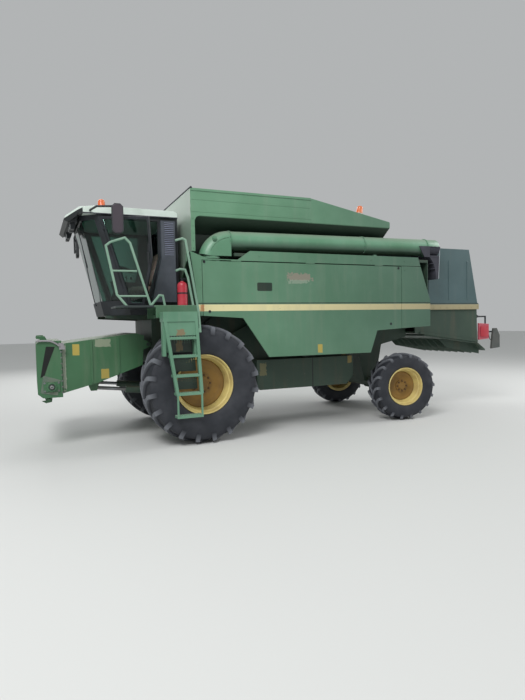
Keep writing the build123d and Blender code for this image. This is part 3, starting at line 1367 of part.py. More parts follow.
MIRROR_ARM_X = 1500
with BuildPart() as mirror_left:
    with BuildSketch(side(1320)):
        Polygon(*mirror_outline(1095, 160))
    extrude(amount=45)
    add(
        tube_run(
            14,
            (MIRROR_ARM_X, CAB_Y + 20 + SEAT, 3490),
            (MIRROR_ARM_X, CAB_Y + 60, 3490),
            (MIRROR_ARM_X - 60, 1180, 3490),
            (1200, 1260, 3490),
            (1175, 1260, 3180),
        )
    )
    with BuildSketch(side(1280)):
        for z in (3220, 3420):
            with Locations((1178, z)):
                Rectangle(60, 40)
    extrude(amount=25)
mirror_left.part.label = "mirror_left"
export_step(mirror_left.part, "parts/mirror_left.step")

with BuildPart() as mirror_right:
    with BuildSketch(across(1480)):
        Polygon(*mirror_outline(-LADDER_Y, 240))
    extrude(amount=45)
    add(
        tube_run(
            14,
            (MIRROR_ARM_X, -CAB_Y - 20 - SEAT, 3490),
            (MIRROR_ARM_X, -CAB_Y - 60, 3490),
            (MIRROR_ARM_X + 50, -CAB_Y - 300, 3490),
            (MIRROR_ARM_X + 50, -1580, 3470),
            (MIRROR_ARM_X + 50, -1580, 3180),
        )
    )
    with BuildSketch(across(1520)):
        for z in (3220, 3420):
            with Locations((-1580, z)):
                Rectangle(40, 40)
    extrude(amount=25)
mirror_right.part.label = "mirror_right"
export_step(mirror_right.part, "parts/mirror_right.step")

# Beacons on the cab roof and on the sloping roof of the engine hood.
BEACON_R = 65
BEACON_H = 150
HOOD_BEACON_X = -2970
HOOD_BEACON_Y = 1150
hood_fall = (TANK_TOP - HOOD_REAR_TOP) / (TANK_REAR - HOOD_REAR)
hood_beacon = Plane(
    origin=(
        FRONT_AXLE_X + HOOD_BEACON_X,
        HOOD_BEACON_Y,
        TANK_TOP - hood_fall * (TANK_REAR - HOOD_BEACON_X),
    ),
    x_dir=(0, 1, 0),
    z_dir=(-hood_fall, 0, 1),
)
with BuildPart() as beacons:
    with BuildSketch(level(ROOF_TOP)):
        with Locations((1290, 500)):
            RegularPolygon(BEACON_R, 16)
    extrude(amount=BEACON_H)
    with BuildSketch(hood_beacon):
        RegularPolygon(BEACON_R, 16)
    extrude(amount=BEACON_H)
beacons.part.label = "beacons"
export_step(beacons.part, "parts/beacons.step")

# Feeder house: a hollow box on the pivot shaft, from the housing's mouth down to the
# header frame, with a pair of lugs under it for each lift cylinder.
FEEDER_Y = 700
FEEDER_WALL = 30
FEEDER_FRONT = 1960
FEEDER_REAR = 740
FEEDER_HEEL = 35
EAR_R = 50
FEEDER_RIB_W = 32
FEEDER_RIB_T = 14
FEEDER_RIBS = ((1120, 1080, 1630), (1520, 950, 1580), (1925, 840, 1540))
feeder_side = (
    (FEEDER_FRONT, 1550),
    (860, 1680),
    (FEEDER_REAR, 1640),
    (FEEDER_REAR + FEEDER_HEEL, 1180),
    (1430, 950),
    (FEEDER_FRONT, 815),
)
feeder_hollow = (
    (FEEDER_FRONT, 1550 - FEEDER_WALL),
    (865, 1680 - FEEDER_WALL),
    (FEEDER_REAR, 1640 - FEEDER_WALL),
    (FEEDER_REAR + FEEDER_HEEL, 1180 + FEEDER_WALL),
    (1435, 950 + FEEDER_WALL),
    (FEEDER_FRONT, 815 + FEEDER_WALL),
)
with BuildPart() as feeder:
    with BuildSketch(side(FEEDER_Y)):
        Polygon(*feeder_side)
        Polygon(
            (FEEDER_REAR + 60, FEEDER_PIVOT_Z + 2 * EAR_R),
            (FEEDER_PIVOT_X, FEEDER_PIVOT_Z + EAR_R),
            (FEEDER_PIVOT_X - EAR_R, FEEDER_PIVOT_Z),
            (FEEDER_PIVOT_X, FEEDER_PIVOT_Z - EAR_R),
            (FEEDER_REAR + 60, FEEDER_PIVOT_Z - 2 * EAR_R),
        )
    extrude(amount=2 * FEEDER_Y)
    with BuildSketch(side(FEEDER_Y - FEEDER_WALL)):
        Polygon(*feeder_hollow)
        with Locations((FEEDER_PIVOT_X, FEEDER_PIVOT_Z)):
            Rectangle(4 * EAR_R, 2 * (FEEDER_Y - FEEDER_WALL))
    extrude(amount=2 * (FEEDER_Y - FEEDER_WALL), mode=Mode.SUBTRACT)
    with BuildSketch(side(FEEDER_Y)):
        with Locations((FEEDER_PIVOT_X, FEEDER_PIVOT_Z)):
            Circle(PIVOT_R + PIN_GAP)
    extrude(amount=2 * FEEDER_Y, mode=Mode.SUBTRACT)
    for centre in (LIFT_Y, -LIFT_Y):
        for y in (centre + LUG_IN + LUG_T, centre - LUG_IN):
            with BuildSketch(side(y)):
                Polygon(
                    (LIFT_EYE[0] - 2 * LUG_R, 955),
                    (LIFT_EYE[0] - LUG_R, LIFT_EYE[1] - LUG_R),
                    (LIFT_EYE[0] + LUG_R, LIFT_EYE[1] - LUG_R),
                    (LIFT_EYE[0] + 2 * LUG_R, 930),
                )
            extrude(amount=LUG_T)
    for x, foot, top in FEEDER_RIBS:
        for y in (FEEDER_Y + FEEDER_RIB_T, -FEEDER_Y):
            with BuildSketch(side(y)):
                Polygon((x, foot), (x, top), (x + FEEDER_RIB_W, top), (x + FEEDER_RIB_W, foot))
            extrude(amount=FEEDER_RIB_T)
feeder.part.label = "feeder_house"
export_step(feeder.part, "parts/feeder_house.step")

# Feeder conveyor: the front drum and the rear shaft, three strands of chain that run round
# them, and the slats that the chains carry along their upper and lower runs.
CONVEYOR_Y = 610
DRUM_X = 1690
DRUM_Z = 1215
DRUM_R = 88
DRUM_SHAFT_R = 30
TAIL_X = 890
TAIL_Z = 1425
TAIL_R = 62
CHAIN_T = 14
CHAIN_W = 34
CHAIN_YS = (540, 0, -540)
SLATS = 6
SLAT_W = 34
SLAT_T = 14
LOOP_STEPS = 3
run_length = hypot(DRUM_X - TAIL_X, DRUM_Z - TAIL_Z)
run_angle = atan2(DRUM_Z - TAIL_Z, DRUM_X - TAIL_X)
spread = asin((DRUM_R - TAIL_R) / run_length)


def chain_loop(extra):
    """Corners of a chain's loop round the drum and the tail sprocket, moved outwards."""
    corners = []
    for centre, radius, first in (
        ((DRUM_X, DRUM_Z), DRUM_R, run_angle + spread + pi / 2),
        ((TAIL_X, TAIL_Z), TAIL_R, run_angle - spread - pi / 2),
    ):
        turn = -pi + (2 * spread if radius == TAIL_R else -2 * spread)
        for step in range(LOOP_STEPS + 1):
            angle = first + turn * step / LOOP_STEPS
            corners.append((centre[0] + (radius + extra) * cos(angle), centre[1] + (radius + extra) * sin(angle)))
    return corners


with BuildPart() as conveyor:
    with BuildSketch(side(CONVEYOR_Y)):
        with Locations((DRUM_X, DRUM_Z)):
            RegularPolygon(DRUM_R, 8)
    extrude(amount=2 * CONVEYOR_Y)
    with BuildSketch(side(CONVEYOR_Y)):
        with Locations((TAIL_X, TAIL_Z)):
            RegularPolygon(DRUM_SHAFT_R, 6)
    extrude(amount=2 * CONVEYOR_Y)
    for y in CHAIN_YS:
        with BuildSketch(side(y + CHAIN_W / 4)):
            with Locations((TAIL_X, TAIL_Z)):
                RegularPolygon(TAIL_R, 8)
        extrude(amount=CHAIN_W / 2)
        with BuildSketch(side(y + CHAIN_W / 2)):
            Polygon(*chain_loop(CHAIN_T))
            Polygon(*chain_loop(0), mode=Mode.SUBTRACT)
        extrude(amount=CHAIN_W)
    for flip in (1, -1):
        slope = run_angle + flip * spread
        for count in range(SLATS):
            share = (count + (0.3 if flip > 0 else 0.8)) / SLATS
            middle_r = TAIL_R + share * (DRUM_R - TAIL_R) + CHAIN_T
            x = TAIL_X + share * (DRUM_X - TAIL_X) - flip * sin(slope) * middle_r
            z = TAIL_Z + share * (DRUM_Z - TAIL_Z) + flip * cos(slope) * middle_r
            with BuildSketch(side(CONVEYOR_Y) * Location((x, z, 0), (0, 0, degrees(slope)))):
                with Locations((0, flip * (SLAT_T / 2 - 1))):
                    Rectangle(SLAT_W, SLAT_T)
            extrude(amount=2 * CONVEYOR_Y)
    with BuildSketch(side(FEEDER_Y - FEEDER_WALL - SEAT)):
        with Locations((DRUM_X, DRUM_Z)):
            RegularPolygon(DRUM_SHAFT_R, 6)
        with Locations((TAIL_X, TAIL_Z)):
            RegularPolygon(DRUM_SHAFT_R * 0.8, 6)
    extrude(amount=2 * (FEEDER_Y - FEEDER_WALL - SEAT))
conveyor.part.label = "feeder_conveyor"
export_step(conveyor.part, "parts/feeder_conveyor.step")

# Adapter frame on the feeder's front, which the header hooks onto: a deep frame with two
# hooks above, a latch shaft below, and a drive bearing on the left.
ADAPTER_REAR = 1960
ADAPTER_FRONT = 2300
ADAPTER_Y = 780
ADAPTER_FOOT = 770
ADAPTER_HEAD = 1600
MOUTH_Y = 660
MOUTH_FOOT = 860
MOUTH_HEAD = 1500
HOOK_Y = 620
HOOK_T = 40
LATCH_Y = 700
BEARING = (2110, 930)
BEARING_PLATE = 150
BEARING_R = 68
with BuildPart() as adapter:
    with BuildSketch(side(ADAPTER_Y)):
        Polygon(
            (ADAPTER_REAR, ADAPTER_FOOT),
            (ADAPTER_FRONT - 70, ADAPTER_FOOT),
            (ADAPTER_FRONT, ADAPTER_FOOT + 60),
            (ADAPTER_FRONT, ADAPTER_HEAD - 40),
            (ADAPTER_FRONT - 60, ADAPTER_HEAD),
            (ADAPTER_REAR, ADAPTER_HEAD),
        )
    extrude(amount=2 * ADAPTER_Y)
    with BuildSketch(across(ADAPTER_REAR)):
        with Locations((0, MOUTH_FOOT)):
            Rectangle(2 * MOUTH_Y, MOUTH_HEAD - MOUTH_FOOT, align=(Align.CENTER, Align.MIN))
    extrude(amount=ADAPTER_FRONT - ADAPTER_REAR, mode=Mode.SUBTRACT)
    for y in (HOOK_Y, HOOK_T - HOOK_Y):
        with BuildSketch(side(y)):
            Polygon(
                (ADAPTER_FRONT - 160, ADAPTER_HEAD),
                (ADAPTER_FRONT - 120, ADAPTER_HEAD + 70),
                (ADAPTER_FRONT - 20, ADAPTER_HEAD + 70),
                (ADAPTER_FRONT, ADAPTER_HEAD + 30),
                (ADAPTER_FRONT - 40, ADAPTER_HEAD + 30),
                (ADAPTER_FRONT - 90, ADAPTER_HEAD),
            )
        extrude(amount=HOOK_T)
        with BuildSketch(side(y)):
            Polygon(
                (ADAPTER_FRONT - 90, ADAPTER_FOOT),
                (ADAPTER_FRONT - 200, ADAPTER_FOOT),
                (ADAPTER_FRONT - 190, ADAPTER_FOOT - 80),
                (ADAPTER_FRONT - 110, ADAPTER_FOOT - 95),
                (ADAPTER_FRONT - 50, ADAPTER_FOOT - 60),
                (ADAPTER_FRONT - 105, ADAPTER_FOOT - 55),
            )
        extrude(amount=HOOK_T)
    with BuildSketch(side(LATCH_Y)):
        with Locations((ADAPTER_FRONT - 150, ADAPTER_FOOT - 35)):
            RegularPolygon(18, 8)
    extrude(amount=2 * LATCH_Y)
    with BuildSketch(side(ADAPTER_Y + 15)):
        with Locations(BEARING):
            Rectangle(1.5 * BEARING_PLATE, BEARING_PLATE)
    extrude(amount=15)
    with BuildSketch(side(ADAPTER_Y + 45)):
        with Locations(BEARING):
            RegularPolygon(BEARING_R, 16)
            RegularPolygon(BEARING_R / 2, 16, mode=Mode.SUBTRACT)
    extrude(amount=45)
    with BuildSketch(side(ADAPTER_Y + 70)):
        with Locations(BEARING):
            RegularPolygon(BEARING_R / 4, 8)
    extrude(amount=70)
adapter.part.label = "adapter_frame"
export_step(adapter.part, "parts/adapter_frame.step")

# Lift cylinders under the feeder, each barrel on the axle and each rod on the feeder.
BARREL_R = 55
BARREL_LENGTH = 860
ROD_R = 28
ROD_HIDDEN = 420
EYE_R = 38
lift_length = hypot(LIFT_EYE[0] - LIFT_FOOT[0], LIFT_EYE[1] - LIFT_FOOT[1])
lift_dir = ((LIFT_EYE[0] - LIFT_FOOT[0]) / lift_length, (LIFT_EYE[1] - LIFT_FOOT[1]) / lift_length)
for name, y in (("left", LIFT_Y), ("right", -LIFT_Y)):
    lift_plane = Plane(
        origin=(FRONT_AXLE_X + LIFT_FOOT[0], y, LIFT_FOOT[1]),
        x_dir=(0, 1, 0),
        z_dir=(lift_dir[0], 0, lift_dir[1]),
    )
    with BuildPart() as barrel:
        with BuildSketch(side(y + LUG_IN - SEAT)):
            with Locations(LIFT_FOOT):
                Circle(EYE_R)
        extrude(amount=2 * (LUG_IN - SEAT))
        with BuildSketch(lift_plane):
            Rectangle(2 * (LUG_IN - SEAT), EYE_R * 1.5)
        extrude(amount=LUG_CLEAR)
        with BuildSketch(lift_plane.offset(LUG_CLEAR)):
            RegularPolygon(BARREL_R, 16)
        extrude(amount=BARREL_LENGTH - LUG_CLEAR)
        with BuildSketch(lift_plane.offset(LUG_CLEAR + 40)):
            Circle(ROD_R + PIN_GAP)
        extrude(amount=BARREL_LENGTH, mode=Mode.SUBTRACT)
    barrel.part.label = f"lift_barrel_{name}"
    export_step(barrel.part, f"parts/lift_barrel_{name}.step")
    with BuildPart() as rod:
        with BuildSketch(lift_plane.offset(BARREL_LENGTH - ROD_HIDDEN)):
            Circle(ROD_R)
        extrude(amount=lift_length - BARREL_LENGTH + ROD_HIDDEN)
        with BuildSketch(side(y + LUG_IN - SEAT)):
            with Locations(LIFT_EYE):
                Circle(EYE_R)
        extrude(amount=2 * (LUG_IN - SEAT))
    rod.part.label = f"lift_rod_{name}"
    export_step(rod.part, f"parts/lift_rod_{name}.step")

# Wheels. Each tyre is a ring of flat bands with lug bars, on a rim with a deep dish.
Place = namedtuple("Place", "name wheel x y z steer hand")
FRONT_Z = FRONT_WHEEL.tyre_r
REAR_Z = REAR_WHEEL.tyre_r
PLACES = (
    Place("front_left", FRONT_WHEEL, 0, FRONT_WHEEL_Y, FRONT_Z, 0, 1),
    Place("front_right", FRONT_WHEEL, 0, -FRONT_WHEEL_Y, FRONT_Z, 0, -1),
    Place("rear_left", REAR_WHEEL, -WHEELBASE, REAR_WHEEL_Y, REAR_Z, REAR_STEER, 1),
    Place("rear_right", REAR_WHEEL, -WHEELBASE, -REAR_WHEEL_Y, REAR_Z, REAR_STEER, -1),
)


def wheel_plane(place):
    """Middle plane of a wheel, its normal outwards, turned with the steering."""
    angle = radians(place.steer)
    arm = abs(place.y) - KINGPIN_Y if place.x else 0
    centre_x = FRONT_AXLE_X + place.x - sin(angle) * arm * place.hand
    centre_y = place.y - place.hand * arm * (1 - cos(angle))
    return Plane(
        origin=(centre_x, centre_y, place.z),
        x_dir=(cos(angle), sin(angle), 0),
        z_dir=(-sin(angle) * place.hand, cos(angle) * place.hand, 0),
    )


LUG_START = 12
BARREL_T = 35
LIP_T = 20
DISH_IN = 60
HUB_CAP_R = 120
HUB_CAP_T = 25
for place in PLACES:
    wheel = place.wheel
    hub = wheel_plane(place)
    half = wheel.width / 2
    tread_r = wheel.tyre_r - wheel.lug_h
    bore = wheel.rim_r + SEAT
    bulge_r = wheel.rim_r + 0.45 * (tread_r - wheel.rim_r)
    outer_edge = (
        (tread_r, TREAD * half),
        (bulge_r, half),
        (bulge_r - BEAD_LAND, half),
        (bore + BEAD_LAND, BEAD * half),
        (bore, BEAD * half),
    )
    inner_edge = tuple((radius, -distance) for radius, distance in reversed(outer_edge))
    reach = wheel.sweep / 2 + wheel.lug_w / 2
    tip_plane_r = sqrt(wheel.tyre_r**2 - reach**2)
    wall_slope = (tread_r - bulge_r) / ((1 - TREAD) * half)
    root_r = (tread_r - wall_slope * (LUG_REACH - TREAD) * half) * cos(pi / wheel.sides) - wheel.lug_h
    first = 90 - degrees(asin(reach / wheel.tyre_r))
    with BuildPart() as tyre:
        add(flat_ring(hub, outer_edge + inner_edge, 360 / wheel.sides, wheel.sides))
        for row in (1, -1):
            bars = []
            for count in range(wheel.lugs):
                turn = first + (count + (0.5 if row < 0 else 0)) * 360 / wheel.lugs
                bars.append(
                    hub
                    * Location((0, 0, 0), (0, 0, turn * place.hand))
                    * Location((root_r, 0, 0), (0, 90, 0))
                )
            with BuildSketch(*bars):
                lead = place.hand * wheel.sweep / 2
                Polygon(
                    (-row * LUG_START, lead - wheel.lug_w / 2),
                    (-row * LUG_START, lead + wheel.lug_w / 2),
                    (row * LUG_REACH * half, -lead + wheel.lug_w / 2),
                    (row * LUG_REACH * half, -lead - wheel.lug_w / 2),
                )
            extrude(amount=tip_plane_r - root_r)
    tyre.part.label = f"tyre_{place.name}"
    export_step(tyre.part, f"parts/tyre_{place.name}.step")

    rim_outline = (
        (wheel.rim_r, -BEAD * half),
        (wheel.rim_r, BEAD * half),
        (wheel.rim_r - LIP_T, BEAD * half),
        (wheel.rim_r - DISH_IN, disc_inner(wheel) + DISC_T),
        (wheel.rim_r - DISH_IN, disc_inner(wheel)),
        (wheel.rim_r - BARREL_T, disc_inner(wheel)),
        (wheel.rim_r - BARREL_T, -BEAD * half),
    )
    with BuildPart() as rim:
        add(flat_ring(hub, rim_outline, 360 / wheel.sides, wheel.sides))
        with BuildSketch(hub.offset(disc_inner(wheel))):
            RegularPolygon(wheel.rim_r - BARREL_T, wheel.sides, major_radius=False)
        extrude(amount=DISC_T)
        with BuildSketch(hub.offset(disc_inner(wheel) + DISC_T)):
            RegularPolygon(HUB_CAP_R, 12)
        extrude(amount=HUB_CAP_T)
    rim.part.label = f"rim_{place.name}"
    export_step(rim.part, f"parts/rim_{place.name}.step")

# Knuckles at the ends of the rear axle: a fork on the kingpin, the stub that carries the
# wheel and an arm to the rear for the tie rod.
FORK_T = 30
FORK_W = 150
WEB_IN = 95
WEB_T = 30
STUB_R = 60
ARM_REACH = 230
ARM_W = 60
fork_z = EYE_BOSS_H / 2 + SEAT
for place in PLACES[2:]:
    hub = wheel_plane(place)
    pin = hub.offset(-(REAR_WHEEL_Y - KINGPIN_Y))
    stub = REAR_WHEEL_Y - KINGPIN_Y + disc_inner(place.wheel) - SEAT
    plan = Plane(origin=pin.origin, x_dir=pin.x_dir, z_dir=(0, 0, 1))
    outer = place.hand
    with BuildPart() as knuckle:
        for z in (-fork_z - FORK_T, fork_z):
            with BuildSketch(plan.offset(z)):
                Polygon(
                    (-ARM_W, -outer * EYE_BOSS_R / 2),
                    (ARM_W, -outer * EYE_BOSS_R / 2),
                    (FORK_W / 2, outer * (WEB_IN + WEB_T)),
                    (-FORK_W / 2, outer * (WEB_IN + WEB_T)),
                )
            extrude(amount=FORK_T)
        with BuildSketch(plan.offset(-fork_z - FORK_T)):
            Polygon((0, -ARM_W / 2), (0, ARM_W / 2), (-ARM_REACH, ARM_W / 2), (-ARM_REACH, -ARM_W / 2))
        extrude(amount=FORK_T)
        with BuildSketch(pin.offset(WEB_IN)):
            Rectangle(FORK_W, 2 * (fork_z + FORK_T))
        extrude(amount=WEB_T)
        with BuildSketch(pin.offset(WEB_IN)):
            Circle(STUB_R)
        extrude(amount=stub - WEB_IN)
        with BuildSketch(plan.offset(-fork_z - FORK_T)):
            Circle(KINGPIN_R)
        extrude(amount=2 * (fork_z + FORK_T))
    knuckle.part.label = f"knuckle_{place.name}"
    export_step(knuckle.part, f"parts/knuckle_{place.name}.step")

# Steering cylinder on the rear of the axle, and the tie rod that runs right through it.
arm_end_x = -WHEELBASE - (ARM_REACH - ARM_W / 2) * cos(radians(REAR_STEER))
TIE_R = 20
TIE_Z = REAR_Z - fork_z - FORK_T - SEAT - TIE_R
STEER_BARREL_R = 45
STEER_BARREL_Y = 260
tie_shift = (ARM_REACH - ARM_W / 2) * sin(radians(-REAR_STEER))
with BuildPart() as steer_cylinder:
    with BuildSketch(side(STEER_BARREL_Y)):
        with Locations((arm_end_x, TIE_Z)):
            RegularPolygon(STEER_BARREL_R, 16)
            Circle(TIE_R + PIN_GAP, mode=Mode.SUBTRACT)
    extrude(amount=2 * STEER_BARREL_Y)
    for y in (STEER_BARREL_Y, 40 - STEER_BARREL_Y):
        with BuildSketch(side(y)):
            Polygon(
                (-WHEELBASE - REAR_BEAM / 2, REAR_Z + REAR_BEAM / 4),
                (-WHEELBASE - REAR_BEAM / 2, REAR_Z - REAR_BEAM / 2),
                (arm_end_x + STEER_BARREL_R - 9, TIE_Z - TIE_R),
                (arm_end_x + 10, TIE_Z + STEER_BARREL_R - 5),
            )
        extrude(amount=40)
steer_cylinder.part.label = "steering_cylinder"
export_step(steer_cylinder.part, "parts/steering_cylinder.step")

with BuildPart() as tie_rod:
    with BuildSketch(side(KINGPIN_Y + tie_shift)):
        with Locations((arm_end_x, TIE_Z)):
            Circle(TIE_R)
    extrude(amount=2 * KINGPIN_Y)
tie_rod.part.label = "tie_rod"
export_step(tie_rod.part, "parts/tie_rod.step")

# Unloading auger: fixed base in the side bay, turning elbow and tube, and rubber spout.
BASE_TOP = 2740
BASE_H = 260
BASE_R = 140
COLLAR_R = 146
CRADLE_GAP = 5
ELBOW_FACE = -500
ELBOW_CENTRE_Z = 2745
ELBOW_BOTTOM = 2830
ELBOW_SWEEP = 76
ELBOW_STEPS = 7
ELBOW_THROAT = 60
ELBOW_R = 500
ELBOW_Y = 150
ELBOW_CROWN = 487
TUBE_SIDES = 20
TUBE_LAP = 40
JOINT_R = 166
JOINT_T = 16
JOINTS = (-500, -2950, -4310)
tilt = atan2(AUGER_RISE, AUGER_LENGTH)


def tube_z(x):
    """Height of the tube's axis at a place along the machine."""
    return AUGER_Z + tan(tilt) * (ELBOW_FACE - x)


def tube_at(x):
    """Plane across the tube at a place along the machine, its normal to the rear."""
    return Plane(
        origin=(FRONT_AXLE_X + x, AUGER_Y, tube_z(x)),
        x_dir=(0, 1, 0),
        z_dir=(-cos(tilt), 0, sin(tilt)),
    )


elbow_axis = Plane(
    origin=(FRONT_AXLE_X + ELBOW_FACE, AUGER_Y, ELBOW_CENTRE_Z), x_dir=(0, 0, 1), z_dir=(0, 1, 0)
)
elbow_outline = (
    (ELBOW_THROAT, -ELBOW_Y),
    (ELBOW_CROWN - 110, -ELBOW_Y),
    (ELBOW_CROWN - 40, -ELBOW_Y * 0.72),
    (ELBOW_CROWN, -ELBOW_Y * 0.3),
    (ELBOW_CROWN, ELBOW_Y * 0.3),
    (ELBOW_CROWN - 40, ELBOW_Y * 0.72),
    (ELBOW_CROWN - 110, ELBOW_Y),
    (ELBOW_THROAT, ELBOW_Y),
)
with BuildPart() as auger:
    add(flat_ring(elbow_axis, elbow_outline, ELBOW_SWEEP / ELBOW_STEPS, ELBOW_STEPS))
    with BuildSketch(level(ELBOW_CENTRE_Z - ELBOW_R)):
        with Locations((AUGER_X, AUGER_Y)):
            Rectangle(3 * ELBOW_R, 3 * ELBOW_R)
    extrude(amount=ELBOW_BOTTOM - ELBOW_CENTRE_Z + ELBOW_R, mode=Mode.SUBTRACT)
    with BuildSketch(level(BASE_TOP + SEAT)):
        with Locations((AUGER_X, AUGER_Y)):
            Circle(COLLAR_R)
    extrude(amount=ELBOW_BOTTOM + 60 - BASE_TOP)
    with BuildSketch(tube_at(ELBOW_FACE + TUBE_LAP)):
        RegularPolygon(AUGER_R, TUBE_SIDES, rotation=180 / TUBE_SIDES)
    extrude(amount=AUGER_LENGTH - AUGER_X + ELBOW_FACE + TUBE_LAP)
    for x in JOINTS:
        with BuildSketch(tube_at(x)):
            RegularPolygon(JOINT_R, TUBE_SIDES, rotation=180 / TUBE_SIDES)
        extrude(amount=JOINT_T)
auger.part.label = "auger_tube"
export_step(auger.part, "parts/auger_tube.step")

# Rubber spout under the end of the tube: a hollow chute, open below, its front curved back.
SPOUT_DROP = 430
SPOUT_W = 290
SPOUT_SKIN = 10
spout_front = AUGER_X - AUGER_LENGTH + 250
spout_rear = AUGER_X - AUGER_LENGTH + 10
spout_head = tube_z(spout_rear) - AUGER_R * cos(pi / TUBE_SIDES) / cos(tilt) - SEAT
spout_dip = tan(tilt) * (spout_front - spout_rear)


def spout_outline(skin):
    """Side view of the spout, made smaller by its skin except along its open foot."""
    return (
        (spout_front - skin, spout_head - spout_dip - skin),
        (spout_rear + skin, spout_head - skin),
        (spout_rear + 25 + skin, spout_head - SPOUT_DROP),
        (spout_rear + 75 - skin, spout_head - SPOUT_DROP),
        (spout_rear + 90 - skin, spout_head - SPOUT_DROP * 0.62),
        (spout_rear + 140 - skin, spout_head - SPOUT_DROP * 0.32),
    )


with BuildPart() as spout:
    with BuildSketch(side(AUGER_Y + SPOUT_W / 2)):
        Polygon(*spout_outline(0))
    extrude(amount=SPOUT_W)
    with BuildSketch(side(AUGER_Y + SPOUT_W / 2 - SPOUT_SKIN)):
        Polygon(*spout_outline(SPOUT_SKIN))
    extrude(amount=SPOUT_W - 2 * SPOUT_SKIN, mode=Mode.SUBTRACT)
spout.part.label = "auger_spout"
export_step(spout.part, "parts/auger_spout.step")

# Auger mounts: the fixed base under the elbow, on a bracket from the housing wall, and
# the cradle that the tube lies in while it is folded back.
CRADLE_X = -3200
CRADLE_W = 60
CRADLE_IN = 1030
CRADLE_OUT = 1300
cradle_axis = tube_z(CRADLE_X)
with BuildPart() as auger_mounts:
    with BuildSketch(level(BASE_TOP - BASE_H)):
        with Locations((AUGER_X, AUGER_Y)):
            RegularPolygon(BASE_R, 20)
    extrude(amount=BASE_H)
    with BuildSketch(across(AUGER_X - 40)):
        Polygon(
            (WALL_Y, BASE_TOP - BASE_H - 200),
            (WALL_Y, BASE_TOP - BASE_H),
            (AUGER_Y, BASE_TOP - BASE_H),
            (AUGER_Y, BASE_TOP - BASE_H - 60),
        )
    extrude(amount=80)
    with BuildSketch(across(CRADLE_X - CRADLE_W / 2)):
        Polygon(
            (CRADLE_IN, DECK_Z),
            (CRADLE_IN, cradle_axis),
            (AUGER_Y, cradle_axis),
            (AUGER_Y, cradle_axis - AUGER_R - CRADLE_GAP),
            (CRADLE_OUT, cradle_axis - AUGER_R - CRADLE_GAP),
            (CRADLE_OUT, DECK_Z),
        )
        with Locations((AUGER_Y, cradle_axis)):
            Circle(AUGER_R + CRADLE_GAP, mode=Mode.SUBTRACT)
    extrude(amount=CRADLE_W)
auger_mounts.part.label = "auger_mounts"
export_step(auger_mounts.part, "parts/auger_mounts.step")
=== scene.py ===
import json
from math import cos, exp, pi, radians, sin

import bpy
from mathutils import Matrix, Vector


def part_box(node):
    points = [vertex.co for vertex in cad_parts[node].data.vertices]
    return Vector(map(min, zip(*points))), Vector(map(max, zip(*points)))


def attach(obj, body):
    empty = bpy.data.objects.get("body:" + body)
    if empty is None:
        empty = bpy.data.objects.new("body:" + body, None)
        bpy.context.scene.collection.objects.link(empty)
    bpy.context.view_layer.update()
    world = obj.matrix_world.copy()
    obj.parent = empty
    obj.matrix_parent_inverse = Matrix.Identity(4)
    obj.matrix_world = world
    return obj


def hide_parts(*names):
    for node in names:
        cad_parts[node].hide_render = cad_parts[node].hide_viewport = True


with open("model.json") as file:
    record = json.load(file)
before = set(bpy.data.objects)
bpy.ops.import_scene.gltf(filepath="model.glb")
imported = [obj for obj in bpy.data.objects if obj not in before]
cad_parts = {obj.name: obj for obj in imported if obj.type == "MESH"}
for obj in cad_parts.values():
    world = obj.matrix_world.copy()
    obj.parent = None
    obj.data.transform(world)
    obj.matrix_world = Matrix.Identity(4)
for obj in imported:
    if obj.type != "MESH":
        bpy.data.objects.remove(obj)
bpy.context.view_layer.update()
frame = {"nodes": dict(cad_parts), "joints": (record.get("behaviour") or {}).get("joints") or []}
node_objects = frame["nodes"]
joints = {joint["name"]: joint for joint in frame["joints"]}

# Camera and studio. The camera stands level with a tall person's eyes beside the machine,
# as far off and turned as the photograph shows, over a pale floor in soft even light.
tyre_low, tyre_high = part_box("tyre_front_left")
AXLE_X = (tyre_low[0] + tyre_high[0]) / 2
CAMERA_AHEAD = 2.337
CAMERA_SIDE = 8.988
CAMERA_HEIGHT = 1.783
CAMERA_YAW = radians(23.56)
CAMERA_PITCH = radians(2.84)
CAMERA_ROLL = radians(-1.17)
# The lens is given in pixels of the photograph, whose longer side has 700.
VIEW_LENS = 526
FRAME_LONG_SIDE = 700
SENSOR = 36

looking = Vector(
    (-sin(CAMERA_YAW) * cos(CAMERA_PITCH), -cos(CAMERA_YAW) * cos(CAMERA_PITCH), -sin(CAMERA_PITCH))
)
level_right = Vector((-cos(CAMERA_YAW), sin(CAMERA_YAW), 0))
level_up = level_right.cross(looking)
right = cos(CAMERA_ROLL) * level_right + sin(CAMERA_ROLL) * level_up
up = -sin(CAMERA_ROLL) * level_right + cos(CAMERA_ROLL) * level_up

bpy.ops.object.select_all(action="DESELECT")
bpy.ops.object.camera_add()
camera = bpy.context.object
turn = Matrix((right, up, -looking)).transposed()
camera_place = Matrix.Translation((AXLE_X + CAMERA_AHEAD, CAMERA_SIDE, CAMERA_HEIGHT))
camera.matrix_world = camera_place @ turn.to_4x4()
camera.data.sensor_width = SENSOR
camera.data.lens = SENSOR * VIEW_LENS / FRAME_LONG_SIDE
camera.data.clip_end = 300
bpy.context.scene.camera = camera
bpy.context.scene.view_settings.view_transform = "Standard"


def linear(colour):
    """Linear colour of an sRGB hex value, with full alpha."""
    channels = [int(colour[i : i + 2], 16) / 255 for i in (1, 3, 5)]
    return [c / 12.92 if c <= 0.04045 else ((c + 0.055) / 1.055) ** 2.4 for c in channels] + [1.0]


def new_material(name):
    """An empty node material."""
    material = bpy.data.materials.new(name)
    material.use_nodes = True
    material.node_tree.nodes.clear()
    return material


